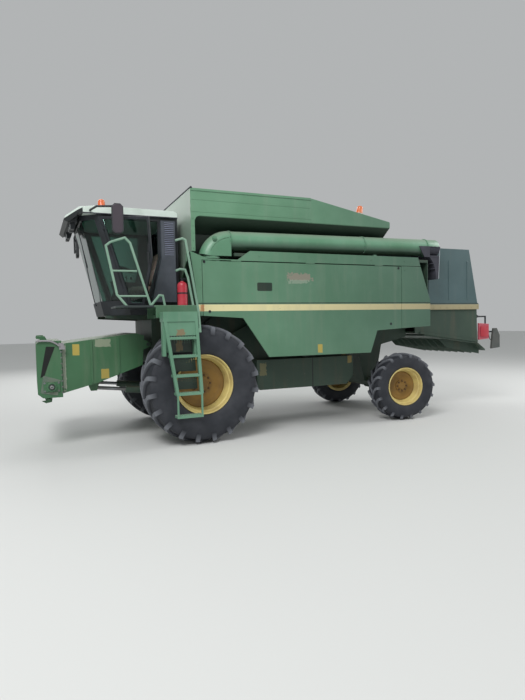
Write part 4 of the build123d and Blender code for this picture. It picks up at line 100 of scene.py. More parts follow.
def add(material, kind, inputs=None, **settings):
    """A shader node in a material. An input takes a value, a node's output or a whole node."""
    node = material.node_tree.nodes.new("ShaderNode" + kind)
    for name, value in settings.items():
        setattr(node, name, value)
    for name, value in (inputs or {}).items():
        if isinstance(value, bpy.types.Node):
            value = next(output for output in value.outputs if output.enabled)
        if isinstance(value, bpy.types.NodeSocket):
            material.node_tree.links.new(value, node.inputs[name])
        else:
            node.inputs[name].default_value = value
    return node


FLOOR_SIZE = 120
bpy.ops.object.select_all(action="DESELECT")
bpy.ops.mesh.primitive_plane_add(size=FLOOR_SIZE)
floor = bpy.context.object
floor.name = "studio_floor"
concrete = new_material("pale studio floor")
floor_place = add(concrete, "TexCoord").outputs["Object"]
floor_share = 1 / FLOOR_SIZE
whole_floor = add(
    concrete,
    "Mapping",
    {"Vector": floor_place, "Location": (0.5, 0.5, 0.5), "Scale": (floor_share, floor_share, 1)},
)
mottle = add(
    concrete, "TexNoise", {"Vector": whole_floor, "Scale": 0.35, "Detail": 6.0, "Roughness": 0.6}
)
mottle_colour = add(
    concrete, "Mix", {"Factor": mottle, 6: linear("#CFD0CE"), 7: linear("#DEDFDD")}, data_type="RGBA"
)
floor_shader = add(concrete, "BsdfPrincipled", {"Base Color": mottle_colour, "Roughness": 0.85})
add(concrete, "OutputMaterial", {"Surface": floor_shader})
floor.data.materials.append(concrete)

world = bpy.data.worlds.new("soft studio")
bpy.context.scene.world = world
world.use_nodes = True
backdrop = world.node_tree.nodes["Background"]
backdrop.inputs["Color"].default_value = linear("#EEF1F2")
backdrop.inputs["Strength"].default_value = 0.52

# Lamps: place, width and power of each soft box, all of them aimed at the body's middle.
LAMPS = (
    ("key_light", (8.0, 9.0, 12.0), 6.0, 1350),
    ("back_light", (-12.0, 3.0, 8.0), 6.0, 700),
    ("far_light", (2.0, -12.0, 9.0), 7.0, 600),
)
LAMP_AIM = Vector((0, 0, 1.6))
for lamp_name, lamp_place, lamp_size, lamp_power in LAMPS:
    bpy.ops.object.light_add(type="AREA", location=lamp_place)
    lamp = bpy.context.object
    lamp.name = lamp_name
    lamp.data.size = lamp_size
    lamp.data.energy = lamp_power
    lamp.rotation_euler = (LAMP_AIM - Vector(lamp_place)).to_track_quat("-Z", "Y").to_euler()


# Sheet steel of the body: pressed and welded panels under baked green enamel, chalked by the
# sun, with dust that has settled on ledges and run down, and small chips along the edges.
def enamel(
    name,
    colour,
    chalked,
    dust,
    dust_amount=0.16,
    roughness=0.42,
    stripe=False,
    recess=False,
    shaded=False,
    facing_tones=(),
    worn=(),
):
    """Old farm enamel: broad chalking, rain streaks, dust on what faces up, fine chips."""
    paint = new_material(name)
    place = add(paint, "TexCoord").outputs["Object"]
    # Chalking in patches of about half a metre.
    patches = add(paint, "TexNoise", {"Vector": place, "Scale": 1.6, "Detail": 5.0})
    patch_amount = add(paint, "MapRange", {"Value": patches, "From Min": 0.35, "From Max": 0.7})
    surface = add(
        paint, "Mix", {"Factor": patch_amount, 6: linear(colour), 7: linear(chalked)}, data_type="RGBA"
    )
    # Painted shade, with some dirt, darkens the paint towards the tail.
    if shaded:
        surface = add_rear_shade(paint, place, surface)
    if stripe:
        surface = add_stripe(paint, place, surface)
    # Rain streaks: noise drawn out to about ten times its width down the panel.
    stretched = add(paint, "Mapping", {"Vector": place, "Scale": (9.0, 9.0, 0.9)})
    streaks = add(paint, "TexNoise", {"Vector": stretched, "Scale": 1.0, "Detail": 4.0})
    streak_amount = add(
        paint, "MapRange", {"Value": streaks, "From Min": 0.52, "From Max": 0.8, "To Max": dust_amount}
    )
    # Dust lies on whatever faces up.
    facing = add(paint, "NewGeometry").outputs["Normal"]
    facing_up = add(paint, "SeparateXYZ", {"Vector": facing}).outputs["Z"]
    settled = add(
        paint, "MapRange", {"Value": facing_up, "From Min": 0.35, "From Max": 0.95, "To Max": 0.55}
    )
    dusty = add(paint, "Math", {0: streak_amount, 1: settled}, operation="MAXIMUM")
    coated = add(paint, "Mix", {"Factor": dusty, 6: surface, 7: linear(dust)}, data_type="RGBA")
    # Chips down to the primer, from 5 to 20 mm across.
    chips = add(paint, "TexNoise", {"Vector": place, "Scale": 34.0, "Detail": 2.0})
    chip_amount = add(
        paint, "MapRange", {"Value": chips, "From Min": 0.75, "From Max": 0.78, "To Max": 0.8}
    )
    surface = add(
        paint, "Mix", {"Factor": chip_amount, 6: coated, 7: linear("#7A7468")}, data_type="RGBA"
    )
    for axis, start, end, tone, strength in facing_tones:
        surface = add_facing_tone(paint, facing, surface, axis, start, end, tone, strength)
    for spot_name in worn:
        surface = add_wear(paint, place, surface, *WORN_SPOTS[spot_name])
    # Painted shade: near black under the tank's overhang and inside the outer walls.
    if recess:
        surface = add_recess(paint, place, surface)
    gloss = add(paint, "MapRange", {"Value": dusty, "To Min": roughness, "To Max": 0.85})
    # Thin sheet is never flat: it waves by a millimetre or so over 300 mm.
    waves = add(paint, "TexNoise", {"Vector": place, "Scale": 3.2, "Detail": 1.0})
    relief = add(paint, "Bump", {"Height": waves, "Strength": 0.18, "Distance": 0.01})
    shader = add(
        paint,
        "BsdfPrincipled",
        {
            "Base Color": surface,
            "Roughness": gloss,
            "Normal": relief,
            "Coat Weight": 0.15,
            "Coat Roughness": 0.25,
        },
    )
    add(paint, "OutputMaterial", {"Surface": shader})
    return paint


# The band round the sides: cream paint 100 mm deep, with a thin dark line over it.
STRIPE_LOW = 1.990
STRIPE_HIGH = 2.090
LINE_LOW = 2.102
LINE_HIGH = 2.116
# The band and the panels darken between these two places, towards the tail: painted shade where the
# light falls off, with some dirt from dust and chaff.
TAIL_SHADE_FROM = AXLE_X - 1.0
TAIL_SHADE_TO = AXLE_X - 4.6


def add_stripe(paint, place, surface):
    """The cream band and its dark line over a paint, set by height, darkened towards the rear as painted
    shade.
    """
    parts = add(paint, "SeparateXYZ", {"Vector": place})
    height = parts.outputs["Z"]
    tail_shade = add(
        paint,
        "MapRange",
        {"Value": parts.outputs["X"], "From Min": TAIL_SHADE_FROM, "From Max": TAIL_SHADE_TO},
    )
    cream = add(
        paint, "Mix", {"Factor": tail_shade, 6: linear("#E3D9A6"), 7: linear("#A49A78")}, data_type="RGBA"
    )
    bands = ((STRIPE_LOW, STRIPE_HIGH, cream), (LINE_LOW, LINE_HIGH, linear("#26332C")))
    for low, high, colour in bands:
        middle = add(paint, "Math", {0: height, 1: (low + high) / 2}, operation="SUBTRACT")
        away = add(paint, "Math", {0: middle}, operation="ABSOLUTE")
        inside = add(paint, "Math", {0: away, 1: (high - low) / 2}, operation="LESS_THAN")
        surface = add(paint, "Mix", {"Factor": inside, 6: surface, 7: colour}, data_type="RGBA")
    return surface


# Spots where the paint has gone or something has been pulled off: middle ahead of the axle,
# middle height, half length, half height, how ragged the edge is, colour and strength.
WORN_SPOTS = {
    "lid_patch": (-1.665, 2.530, 0.210, 0.055, 0.45, "#8F8478", 0.8),
    "lid_patch_foot": (-1.640, 2.450, 0.170, 0.030, 0.45, "#93A08F", 0.6),
    "stripe_end": (-0.005, 2.040, 0.030, 0.050, 0.20, "#C98A5A", 0.85),
    "step_plate": (0.410, 1.685, 0.060, 0.045, 0.30, "#8A6A4C", 0.75),
    "riser_rust": (0.400, 1.500, 0.050, 0.080, 0.35, "#6B5A38", 0.8),
    "lid_mark": (-2.015, 1.358, 0.045, 0.072, 0.04, "#B7A24C", 0.9),
    "shoe_front_mark": (-1.195, 1.020, 0.060, 0.110, 0.30, "#6E6A48", 0.8),
    "shoe_rear_mark": (-2.907, 1.139, 0.045, 0.090, 0.10, "#8F7B42", 0.8),
    "shoe_seam": (-2.143, 0.900, 0.011, 0.340, 0.02, "#0E1512", 0.9),
    # platform_fore is no worn spot: it paints the platform's fore part near black, as dark as the cab's
    # floor.
    "platform_fore": (1.080, 2.050, 0.360, 0.060, 0.02, "#2A3034", 0.95),
    "feeder_patch": (1.365, 1.545, 0.115, 0.060, 0.20, "#9AA08A", 0.7),
    "feeder_front_mark": (1.755, 1.455, 0.050, 0.085, 0.04, "#B7A24C", 0.95),
    "feeder_rear_mark": (1.345, 1.075, 0.060, 0.075, 0.04, "#AC9846", 0.9),
    "feeder_edge": (1.925, 1.180, 0.025, 0.340, 0.35, "#9BA292", 0.8),
}


def add_wear(paint, place, surface, x, z, half_x, half_z, ragged, colour, strength):
    """A worn patch with a ragged edge over a paint, on the machine's left side only."""
    parts = add(paint, "SeparateXYZ", {"Vector": place})
    distances = []
    for channel, middle, half in (("X", AXLE_X + x, half_x), ("Z", z, half_z)):
        offset = add(paint, "Math", {0: parts.outputs[channel], 1: middle}, operation="SUBTRACT")
        away = add(paint, "Math", {0: offset}, operation="ABSOLUTE")
        distances.append(add(paint, "Math", {0: away, 1: half}, operation="DIVIDE"))
    furthest = add(paint, "Math", {0: distances[0], 1: distances[1]}, operation="MAXIMUM")
    # The noise, one half on average, eats into the patch and the edge stays where it was.
    rag = add(paint, "TexNoise", {"Vector": place, "Scale": 26.0, "Detail": 5.0})
    shifted = add(paint, "Math", {0: rag, 1: 4 * ragged, 2: furthest}, operation="MULTIPLY_ADD")
    mask = add(
        paint,
        "MapRange",
        {
            "Value": shifted,
            "From Min": 1.0 + 2 * ragged,
            "From Max": 0.94 + 2 * ragged,
            "To Max": strength,
        },
    )
    on_left = add(paint, "Math", {0: parts.outputs["Y"], 1: 0.0}, operation="GREATER_THAN")
    amount = add(paint, "Math", {0: mask, 1: on_left}, operation="MULTIPLY")
    return add(paint, "Mix", {"Factor": amount, 6: surface, 7: linear(colour)}, data_type="RGBA")


def add_rear_shade(paint, place, surface):
    """Darker towards the tail: painted shade where the light falls off, with some dirt from dust and
    chaff.
    """
    backwards = add(paint, "SeparateXYZ", {"Vector": place}).outputs["X"]
    amount = add(
        paint,
        "MapRange",
        {"Value": backwards, "From Min": TAIL_SHADE_FROM, "From Max": TAIL_SHADE_TO, "To Max": 0.62},
    )
    return add(paint, "Mix", {"Factor": amount, 6: surface, 7: linear("#394C47")}, data_type="RGBA")


def add_facing_tone(paint, facing, surface, axis, start, end, tone, strength):
    """A tone over a paint where its surface turns towards one side: painted shade under the unloading
    tube, paler on the tank's forward faces.
    """
    part = add(paint, "SeparateXYZ", {"Vector": facing}).outputs[axis]
    amount = add(
        paint, "MapRange", {"Value": part, "From Min": start, "From Max": end, "To Max": strength}
    )
    return add(paint, "Mix", {"Factor": amount, 6: surface, 7: linear(tone)}, data_type="RGBA")


# Walls set back under the tank's overhang are painted near black: painted shade under the overhang.
RECESS_TOP = 3.424
RECESS_Y = 1.288
RECESS_FRONT = AXLE_X + 0.095
RECESS_SHADE = 0.9


def add_recess(paint, place, surface):
    """Painted shade, near black, over what lies under the overhang and inside the outer walls."""
    parts = add(paint, "SeparateXYZ", {"Vector": place})
    across = add(paint, "Math", {0: parts.outputs["Y"]}, operation="ABSOLUTE")
    low = add(paint, "Math", {0: parts.outputs["Z"], 1: RECESS_TOP}, operation="LESS_THAN")
    inner = add(paint, "Math", {0: across, 1: RECESS_Y}, operation="LESS_THAN")
    behind = add(paint, "Math", {0: parts.outputs["X"], 1: RECESS_FRONT}, operation="LESS_THAN")
    both = add(paint, "Math", {0: low, 1: inner}, operation="MULTIPLY")
    mask = add(paint, "Math", {0: both, 1: behind}, operation="MULTIPLY")
    darkening = add(paint, "Math", {0: mask, 1: RECESS_SHADE}, operation="MULTIPLY")
    return add(paint, "Mix", {"Factor": darkening, 6: surface, 7: linear("#141A18")}, data_type="RGBA")


def paint_nodes(material, *names):
    """Gives CAD nodes their finish."""
    for name in names:
        for holder in node_objects[name].material_slots:
            holder.material = material


# Greens of the body: chalked on the side panels with their band, on the tank and on the hood,
# dark and dirty on everything below, and darker and bluer on the straw hood at the rear, as
# painted shade where it sits in behind the side panels.
panel_green = enamel(
    "green enamel on side panels",
    "#557F63",
    "#628B70",
    "#8E9284",
    stripe=True,
    shaded=True,
    worn=("lid_patch", "lid_patch_foot", "lid_mark", "stripe_end"),
)
body_green = enamel(
    "green enamel on the tank and hood",
    "#5F8B6D",
    "#6E9A7C",
    "#93998A",
    recess=True,
    shaded=True,
    # Paler where the tank's surfaces face forwards.
    facing_tones=(("X", 0.5, 0.9, "#8F9C91", 0.65),),
)
dark_green = enamel(
    "dark green enamel under the body",
    "#2B4034",
    "#34493B",
    "#5A5344",
    dust_amount=0.5,
    roughness=0.6,
    worn=("shoe_front_mark", "shoe_rear_mark", "shoe_seam"),
)
# Painted shade: the straw hood's green is darker and bluer, as the hood sits in behind the side panels.
shaded_hood_green = enamel("green enamel at the rear, darkened as painted shade", "#425A5C", "#4B6366", "#6C7068", stripe=True)
paint_nodes(panel_green, "shield_left", "shield_right", "rear_side_panels", "side_trims")
paint_nodes(body_green, "grain_tank", "engine_hood")
paint_nodes(shaded_hood_green, "straw_hood")
paint_nodes(
    dark_green,
    "separator_housing",
    "cleaning_shoe_housing",
    "side_decks",
    "chopper_housing",
    "spreader_tailboard",
    "front_axle",
    "rear_axle",
    "knuckle_rear_left",
    "knuckle_rear_right",
    "steering_cylinder",
    "lift_barrel_left",
    "lift_barrel_right",
    "side_drive",
)

# Feeder, platform, ladder and rails: plate and tube welded up and painted in greens of their
# own, deepest on the feeder and the risers, palest on the rails.
feeder_green = enamel(
    "green enamel on the feeder",
    "#35623F",
    "#406E4B",
    "#7F8270",
    dust_amount=0.25,
    worn=("feeder_patch", "feeder_front_mark", "feeder_rear_mark", "feeder_edge"),
)
platform_green = enamel(
    "green enamel on the platform", "#46694F", "#547B60", "#8E9888", worn=("platform_fore",)
)
step_green = enamel("green enamel on the steps", "#5A866C", "#6E997F", "#9BA294", worn=("step_plate",))
riser_green = enamel(
    "dark green enamel on the risers",
    "#192B22",
    "#22362A",
    "#4A4638",
    dust_amount=0.3,
    worn=("riser_rust",),
)
rail_green = enamel("paler green enamel on the rails", "#6E937E", "#84A691", "#A1AC9F")
paint_nodes(feeder_green, "feeder_house", "adapter_frame")
paint_nodes(platform_green, "platform")
paint_nodes(step_green, "ladder", "auger_mounts")
paint_nodes(rail_green, "handrails")


# Black and grey parts: black paint on the cab's frame and the lamp housings, grey on the
# louvres and the engine, an exhaust browned by heat, cab plastics and steel worn bright.
def plain_finish(name, colour, worn, roughness, metallic=0.0, grain=60.0, bump=0.05):
    """A moulded or painted surface with light wear and a fine grain."""
    finish = new_material(name)
    place = add(finish, "TexCoord").outputs["Object"]
    wear = add(finish, "TexNoise", {"Vector": place, "Scale": 4.0, "Detail": 6.0})
    wear_amount = add(finish, "MapRange", {"Value": wear, "From Min": 0.4, "From Max": 0.75})
    tone = add(
        finish, "Mix", {"Factor": wear_amount, 6: linear(colour), 7: linear(worn)}, data_type="RGBA"
    )
    fine = add(finish, "TexNoise", {"Vector": place, "Scale": grain, "Detail": 2.0})
    relief = add(finish, "Bump", {"Height": fine, "Strength": bump, "Distance": 0.004})
    gloss = add(
        finish, "MapRange", {"Value": wear, "To Min": roughness - 0.08, "To Max": roughness + 0.1}
    )
    shader = add(
        finish,
        "BsdfPrincipled",
        {"Base Color": tone, "Roughness": gloss, "Metallic": metallic, "Normal": relief},
    )
    add(finish, "OutputMaterial", {"Surface": shader})
    return finish


black_steel = plain_finish("black paint on steel", "#1E2226", "#2F343A", 0.5)
grey_steel = plain_finish("grey paint on steel", "#474C55", "#5A5F68", 0.55)
bare_steel = plain_finish("steel worn bright by crop", "#8E9094", "#6C675F", 0.38, metallic=0.9)
cab_plastic = plain_finish("moulded dark grey cab plastic", "#2A2D30", "#35383B", 0.6, grain=220.0)
burnt_steel = plain_finish("exhaust steel browned by heat", "#2B2624", "#54433A", 0.65, metallic=0.3)
paint_nodes(black_steel, "marker_arm", "cab_frame", "door_frame", "screen_shroud", "work_lamps")
paint_nodes(grey_steel, "louvre_panel", "engine")
paint_nodes(burnt_steel, "exhaust")
paint_nodes(bare_steel, "feeder_conveyor", "lift_rod_left", "lift_rod_right", "tie_rod")
paint_nodes(cab_plastic, "cab_controls", "mirror_left", "mirror_right")

# Rotary screen: wire cloth stretched on a hoop. Its meshes are drawn 9 mm wide, coarser than
# the real ones, so that they still show from a few metres.
wire_cloth = new_material("wire cloth of the rotary screen")
cloth_place = add(wire_cloth, "TexCoord").outputs["Object"]
wires = []
for wire_direction in ("X", "Z"):
    wire = add(
        wire_cloth,
        "TexWave",
        {"Vector": cloth_place, "Scale": 35.0, "Distortion": 0.0},
        bands_direction=wire_direction,
    )
    wires.append(wire.outputs["Fac"])
crossing = add(wire_cloth, "Math", {0: wires[0], 1: wires[1]}, operation="MAXIMUM")
cloth_mask = add(wire_cloth, "MapRange", {"Value": crossing, "From Min": 0.75, "From Max": 0.9})
cloth_tone = add(
    wire_cloth,
    "Mix",
    {"Factor": cloth_mask, 6: linear("#15181A"), 7: linear("#6A6D70")},
    data_type="RGBA",
)
cloth_relief = add(wire_cloth, "Bump", {"Height": cloth_mask, "Strength": 0.8, "Distance": 0.003})
cloth_shader = add(
    wire_cloth, "BsdfPrincipled", {"Base Color": cloth_tone, "Roughness": 0.5, "Normal": cloth_relief}
)
add(wire_cloth, "OutputMaterial", {"Surface": cloth_shader})
paint_nodes(wire_cloth, "rotary_screen")

# Moulded roof of the cab: pale gelcoat on glass fibre, dull with age and streaked with algae,
# over a black visor whose upper edge falls forward.
VISOR_START = AXLE_X + 1.60
VISOR_FALL = 0.55
VISOR_EDGE_AHEAD = 1.64
VISOR_EDGE_Z = 3.507
VISOR_EDGE = VISOR_EDGE_Z + VISOR_FALL * (AXLE_X + VISOR_EDGE_AHEAD)
gelcoat = new_material("pale green gelcoat")
roof_place = add(gelcoat, "TexCoord").outputs["Object"]
roof_wear = add(gelcoat, "TexNoise", {"Vector": roof_place, "Scale": 3.5, "Detail": 7.0})
roof_wear_amount = add(gelcoat, "MapRange", {"Value": roof_wear, "From Min": 0.4, "From Max": 0.75})
roof_tone = add(
    gelcoat,
    "Mix",
    {"Factor": roof_wear_amount, 6: linear("#DCE8E0"), 7: linear("#C7D4CA")},
    data_type="RGBA",
)
roof_parts = add(gelcoat, "SeparateXYZ", {"Vector": roof_place})
roof_slope = add(
    gelcoat,
    "Math",
    {0: roof_parts.outputs["X"], 1: VISOR_FALL, 2: roof_parts.outputs["Z"]},
    operation="MULTIPLY_ADD",
)
under_edge = add(gelcoat, "Math", {0: roof_slope, 1: VISOR_EDGE}, operation="LESS_THAN")
ahead = add(gelcoat, "Math", {0: roof_parts.outputs["X"], 1: VISOR_START}, operation="GREATER_THAN")
visor_mask = add(gelcoat, "Math", {0: under_edge, 1: ahead}, operation="MULTIPLY")
roof_colour = add(
    gelcoat, "Mix", {"Factor": visor_mask, 6: roof_tone, 7: linear("#1F2324")}, data_type="RGBA"
)
roof_relief = add(gelcoat, "Bump", {"Height": roof_wear, "Strength": 0.08, "Distance": 0.01})
roof_shader = add(
    gelcoat, "BsdfPrincipled", {"Base Color": roof_colour, "Roughness": 0.4, "Normal": roof_relief}
)
add(gelcoat, "OutputMaterial", {"Surface": roof_shader})
paint_nodes(gelcoat, "cab_roof")

# Cab glass: green tinted safety glass, glued into the frame. Its tint is darker towards the back
# of the cab.
GLASS_DARK = AXLE_X + 0.35
GLASS_CLEAR = AXLE_X + 0.75
glass = new_material("green tinted safety glass")
glass_place = add(glass, "TexCoord").outputs["Object"]
glass_ahead = add(glass, "SeparateXYZ", {"Vector": glass_place}).outputs["X"]
glass_light = add(
    glass, "MapRange", {"Value": glass_ahead, "From Min": GLASS_DARK, "From Max": GLASS_CLEAR}
)
glass_tint = add(
    glass, "Mix", {"Factor": glass_light, 6: linear("#3A4440"), 7: linear("#7FA397")}, data_type="RGBA"
)
haze = add(glass, "TexNoise", {"Vector": glass_place, "Scale": 3.0, "Detail": 4.0})
glass_gloss = add(glass, "MapRange", {"Value": haze, "To Min": 0.02, "To Max": 0.12})
glass_shader = add(
    glass,
    "BsdfPrincipled",
    {"Base Color": glass_tint, "Roughness": glass_gloss, "Transmission Weight": 1.0, "IOR": 1.45},
)
add(glass, "OutputMaterial", {"Surface": glass_shader})
paint_nodes(glass, "cab_glass", "door_glass")

# Small parts in one colour each: the extinguisher, the rubber spout, the beacons and the seat,
# and the unloading tube, whose underside is darkened as painted shade.
red_paint = plain_finish("red enamel", "#B22E3C", "#C4505A", 0.35)
paint_nodes(red_paint, "fire_extinguisher")
rubber = plain_finish("moulded black rubber", "#35363F", "#45454F", 0.75, grain=90.0)
paint_nodes(rubber, "auger_spout")
amber = plain_finish("amber lamp glass", "#D9683A", "#E08A60", 0.25)
paint_nodes(amber, "beacons")
seat_cloth = plain_finish("brown woven seat cloth", "#957D76", "#A99189", 0.9, grain=400.0)
paint_nodes(seat_cloth, "seat")
auger_paint = enamel(
    "green enamel on the unloading tube",
    "#5A8A6B",
    "#6C9A7E",
    "#93998A",
    # Painted shade: the tube darkens where its surface faces down.
    facing_tones=(("Z", 0.1, -0.7, "#16231D", 0.8),),
)
paint_nodes(auger_paint, "auger_tube")

# Panels from the CAD keep their shape. Their folded edges are rounded so that light runs
# over them as it does on pressed sheet.
FOLDED = {
    0.006: (
        "grain_tank",
        "engine_hood",
        "straw_hood",
        "cab_frame",
        "feeder_house",
        "adapter_frame",
        "chopper_housing",
        "cleaning_shoe_housing",
        "platform",
        "side_decks",
        "handrails",
    ),
    0.003: (
        "shield_left",
        "shield_right",
        "side_trims",
        "rear_side_panels",
        "door_frame",
        "louvre_panel",
        "ladder",
        "auger_mounts",
        "auger_spout",
        "spreader_tailboard",
        "marker_boards",
        "front_axle",
        "rear_axle",
        "side_drive",
    ),
    0.022: ("cab_roof",),
}
for fold_width, folded_names in FOLDED.items():
    for name in folded_names:
        panel = node_objects[name]
        merged = panel.modifiers.new("merged corners", "WELD")
        merged.merge_threshold = 0.0002
        flats = panel.modifiers.new("whole flats", "DECIMATE")
        flats.decimate_type = "DISSOLVE"
        flats.angle_limit = radians(1)
        fold = panel.modifiers.new("folded edges", "BEVEL")
        fold.width = fold_width
        fold.segments = 3
        fold.limit_method = "ANGLE"
        fold.angle_limit = radians(25)
        shading = panel.modifiers.new("even shading", "WEIGHTED_NORMAL")
        shading.keep_sharp = True


# Grain tank: the lap joints pressed along its sides, the dark rubber seal on the front edge of
# its top, and the bolts that hold its front post.
def picked(piece):
    """Makes a piece the only selected object, and the active one."""
    bpy.ops.object.select_all(action="DESELECT")
    piece.select_set(True)
    bpy.context.view_layer.objects.active = piece


def joined(name, pieces):
    """Several pieces made one."""
    bpy.ops.object.select_all(action="DESELECT")
    for piece in pieces:
        piece.select_set(True)
    bpy.context.view_layer.objects.active = pieces[0]
    bpy.ops.object.join()
    whole = bpy.context.object
    whole.name = name
    return whole


SHARP_EDGE = radians(30)


def softened(piece, width, segments=2):
    """Rounds the sharp edges of a piece."""
    bevel = piece.modifiers.new("rounded edges", "BEVEL")
    bevel.width = width
    bevel.segments = segments
    bevel.limit_method = "ANGLE"
    bevel.angle_limit = SHARP_EDGE
    picked(piece)
    bpy.ops.object.modifier_apply(modifier=bevel.name)


def smooth(piece, angle=radians(35)):
    """Shades a piece smooth except over its sharp edges."""
    picked(piece)
    bpy.ops.object.shade_smooth_by_angle(angle=angle)


def fitted(piece, body, material):
    """Gives a finished piece its material and the body that it rides on."""
    piece.data.materials.clear()
    piece.data.materials.append(material)
    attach(piece, body)


def at(x, y, z):
    """A place given ahead of the front axle, to the left of the middle, and up."""
    return Vector((AXLE_X + x, y, z))


def plate(name, outline, facing, start, thickness):
    """A flat plate cut to an outline, square to the X, Y or Z axis, from a start outwards."""
    bpy.ops.object.select_all(action="DESELECT")
    bpy.ops.mesh.primitive_circle_add(vertices=len(outline), fill_type="NGON")
    piece = bpy.context.object
    piece.name = name
    for vertex, (a, b) in zip(piece.data.vertices, outline):
        if facing == "X":
            vertex.co = at(start, a, b)
        elif facing == "Y":
            vertex.co = at(a, start, b)
        else:
            vertex.co = at(a, b, start)
    depth = Vector([thickness if axis == facing else 0 for axis in "XYZ"])
    bpy.ops.object.mode_set(mode="EDIT")
    bpy.ops.mesh.select_all(action="SELECT")
    bpy.ops.mesh.extrude_region_move(TRANSFORM_OT_translate={"value": depth})
    bpy.ops.mesh.select_all(action="SELECT")
    bpy.ops.mesh.normals_make_consistent(inside=False)
    bpy.ops.object.mode_set(mode="OBJECT")
    return piece


def block_outline(a0, a1, b0, b1, corner):
    """Rectangle with cut corners, as the outline of a cover or a boss."""
    return (
        (a0 + corner, b0),
        (a1 - corner, b0),
        (a1, b0 + corner),
        (a1, b1 - corner),
        (a1 - corner, b1),
        (a0 + corner, b1),
        (a0, b1 - corner),
        (a0, b0 + corner),
    )


def meshed(name, curve):
    """A curve as a new object, turned into a mesh."""
    piece = bpy.data.objects.new(name, curve)
    bpy.context.scene.collection.objects.link(piece)
    picked(piece)
    bpy.ops.object.convert(target="MESH")
    return bpy.context.object


def pipe(name, points, radius, curved=False):
    """A pipe or bent bar through a list of places."""
    curve = bpy.data.curves.new(name, "CURVE")
    curve.dimensions = "3D"
    curve.bevel_depth = radius
    curve.bevel_resolution = 3
    curve.use_fill_caps = True
    spline = curve.splines.new("NURBS" if curved else "POLY")
    spline.points.add(len(points) - 1)
    for point, place in zip(spline.points, points):
        point.co = (*place, 1)
    if curved:
        spline.order_u = 3
        spline.use_endpoint_u = True
        curve.resolution_u = 8
    return meshed(name, curve)


def bolt_heads(name, places, direction, radius):
    """Hexagon heads on washers, all facing one way."""
    heads = []
    spin = Vector((0, 0, 1)).rotation_difference(Vector(direction)).to_matrix().to_4x4()
    for place in places:
        bpy.ops.object.select_all(action="DESELECT")
        bpy.ops.mesh.primitive_cylinder_add(vertices=16, radius=1.5 * radius, depth=0.16 * radius)
        washer = bpy.context.object
        bpy.ops.object.select_all(action="DESELECT")
        bpy.ops.mesh.primitive_cylinder_add(vertices=6, radius=radius, depth=1.2 * radius)
        head = bpy.context.object
        head.data.transform(Matrix.Translation((0, 0, 0.6 * radius)))
        bolt = joined("bolt", [washer, head])
        bolt.data.transform(Matrix.Translation(place) @ spin)
        softened(bolt, 0.12 * radius, segments=1)
        heads.append(bolt)
    return joined(name, heads)


SEAM_HEIGHTS = (3.668, 3.487)
SEAM_HALF = 0.006
SEAM_PROUD = 0.004
TANK_SIDE_Y = 1.2995
SEAL_HALF = 1.31
SEAL_Z = 3.836
POST_BOLT_HEIGHTS = [2.95 + 0.11 * count for count in range(5)]
tank_low, tank_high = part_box("grain_tank")
tank_front = tank_high[0] - AXLE_X
tank_rear = tank_low[0] - AXLE_X
tank_laps = []
for seam_z in SEAM_HEIGHTS:
    seam = block_outline(tank_rear, tank_front, seam_z - SEAM_HALF, seam_z + SEAM_HALF, 0.002)
    for hand in (1, -1):
        lap = plate("tank_lap_joint", seam, "Y", hand * TANK_SIDE_Y, hand * SEAM_PROUD)
        softened(lap, 0.0015)
        tank_laps.append(lap)
lap_joints = joined("tank_lap_joints", tank_laps)
fitted(lap_joints, "chassis", body_green)
seal_line = [at(tank_front - 0.012, hand * SEAL_HALF, SEAL_Z) for hand in (1, -1)]
seal = pipe("tank_front_seal", seal_line, 0.018)
smooth(seal)
fitted(seal, "chassis", rubber)
post_places = [at(tank_front - 0.031, 1.300, z) for z in POST_BOLT_HEIGHTS]
post_bolts = bolt_heads("post_bolts", post_places, (0, 1, 0), 0.008)
fitted(post_bolts, "chassis", body_green)

# Side panels: the round latches pressed into each lid, the fixing screws of the trims and the
# rear panels, and a plate with nothing on it on the left lid.
TURN_STEPS = 96


def turned(name, outline):
    """A ring turned about the Y axis from a closed outline of (y, radius) points."""
    bpy.ops.object.select_all(action="DESELECT")
    bpy.ops.mesh.primitive_circle_add(vertices=len(outline))
    piece = bpy.context.object
    piece.name = name
    for vertex, (y, radius) in zip(piece.data.vertices, outline):
        vertex.co = (0, y, radius)
    bpy.ops.object.mode_set(mode="EDIT")
    bpy.ops.mesh.select_all(action="SELECT")
    bpy.ops.mesh.spin(steps=TURN_STEPS, angle=2 * pi, center=(0, 0, 0), axis=(0, 1, 0))
    bpy.ops.mesh.select_all(action="SELECT")
    bpy.ops.mesh.remove_doubles(threshold=0.0001)
    bpy.ops.mesh.normals_make_consistent(inside=False)
    bpy.ops.object.mode_set(mode="OBJECT")
    return piece


def turned_up(name, outline, place, direction=Vector((0, 0, 1))):
    """A turned piece from (height, radius) points, standing at a place along a direction."""
    piece = turned(name, outline)
    spin = Vector((0, 1, 0)).rotation_difference(direction).to_matrix().to_4x4()
    piece.data.transform(Matrix.Translation(place) @ spin)
    return piece


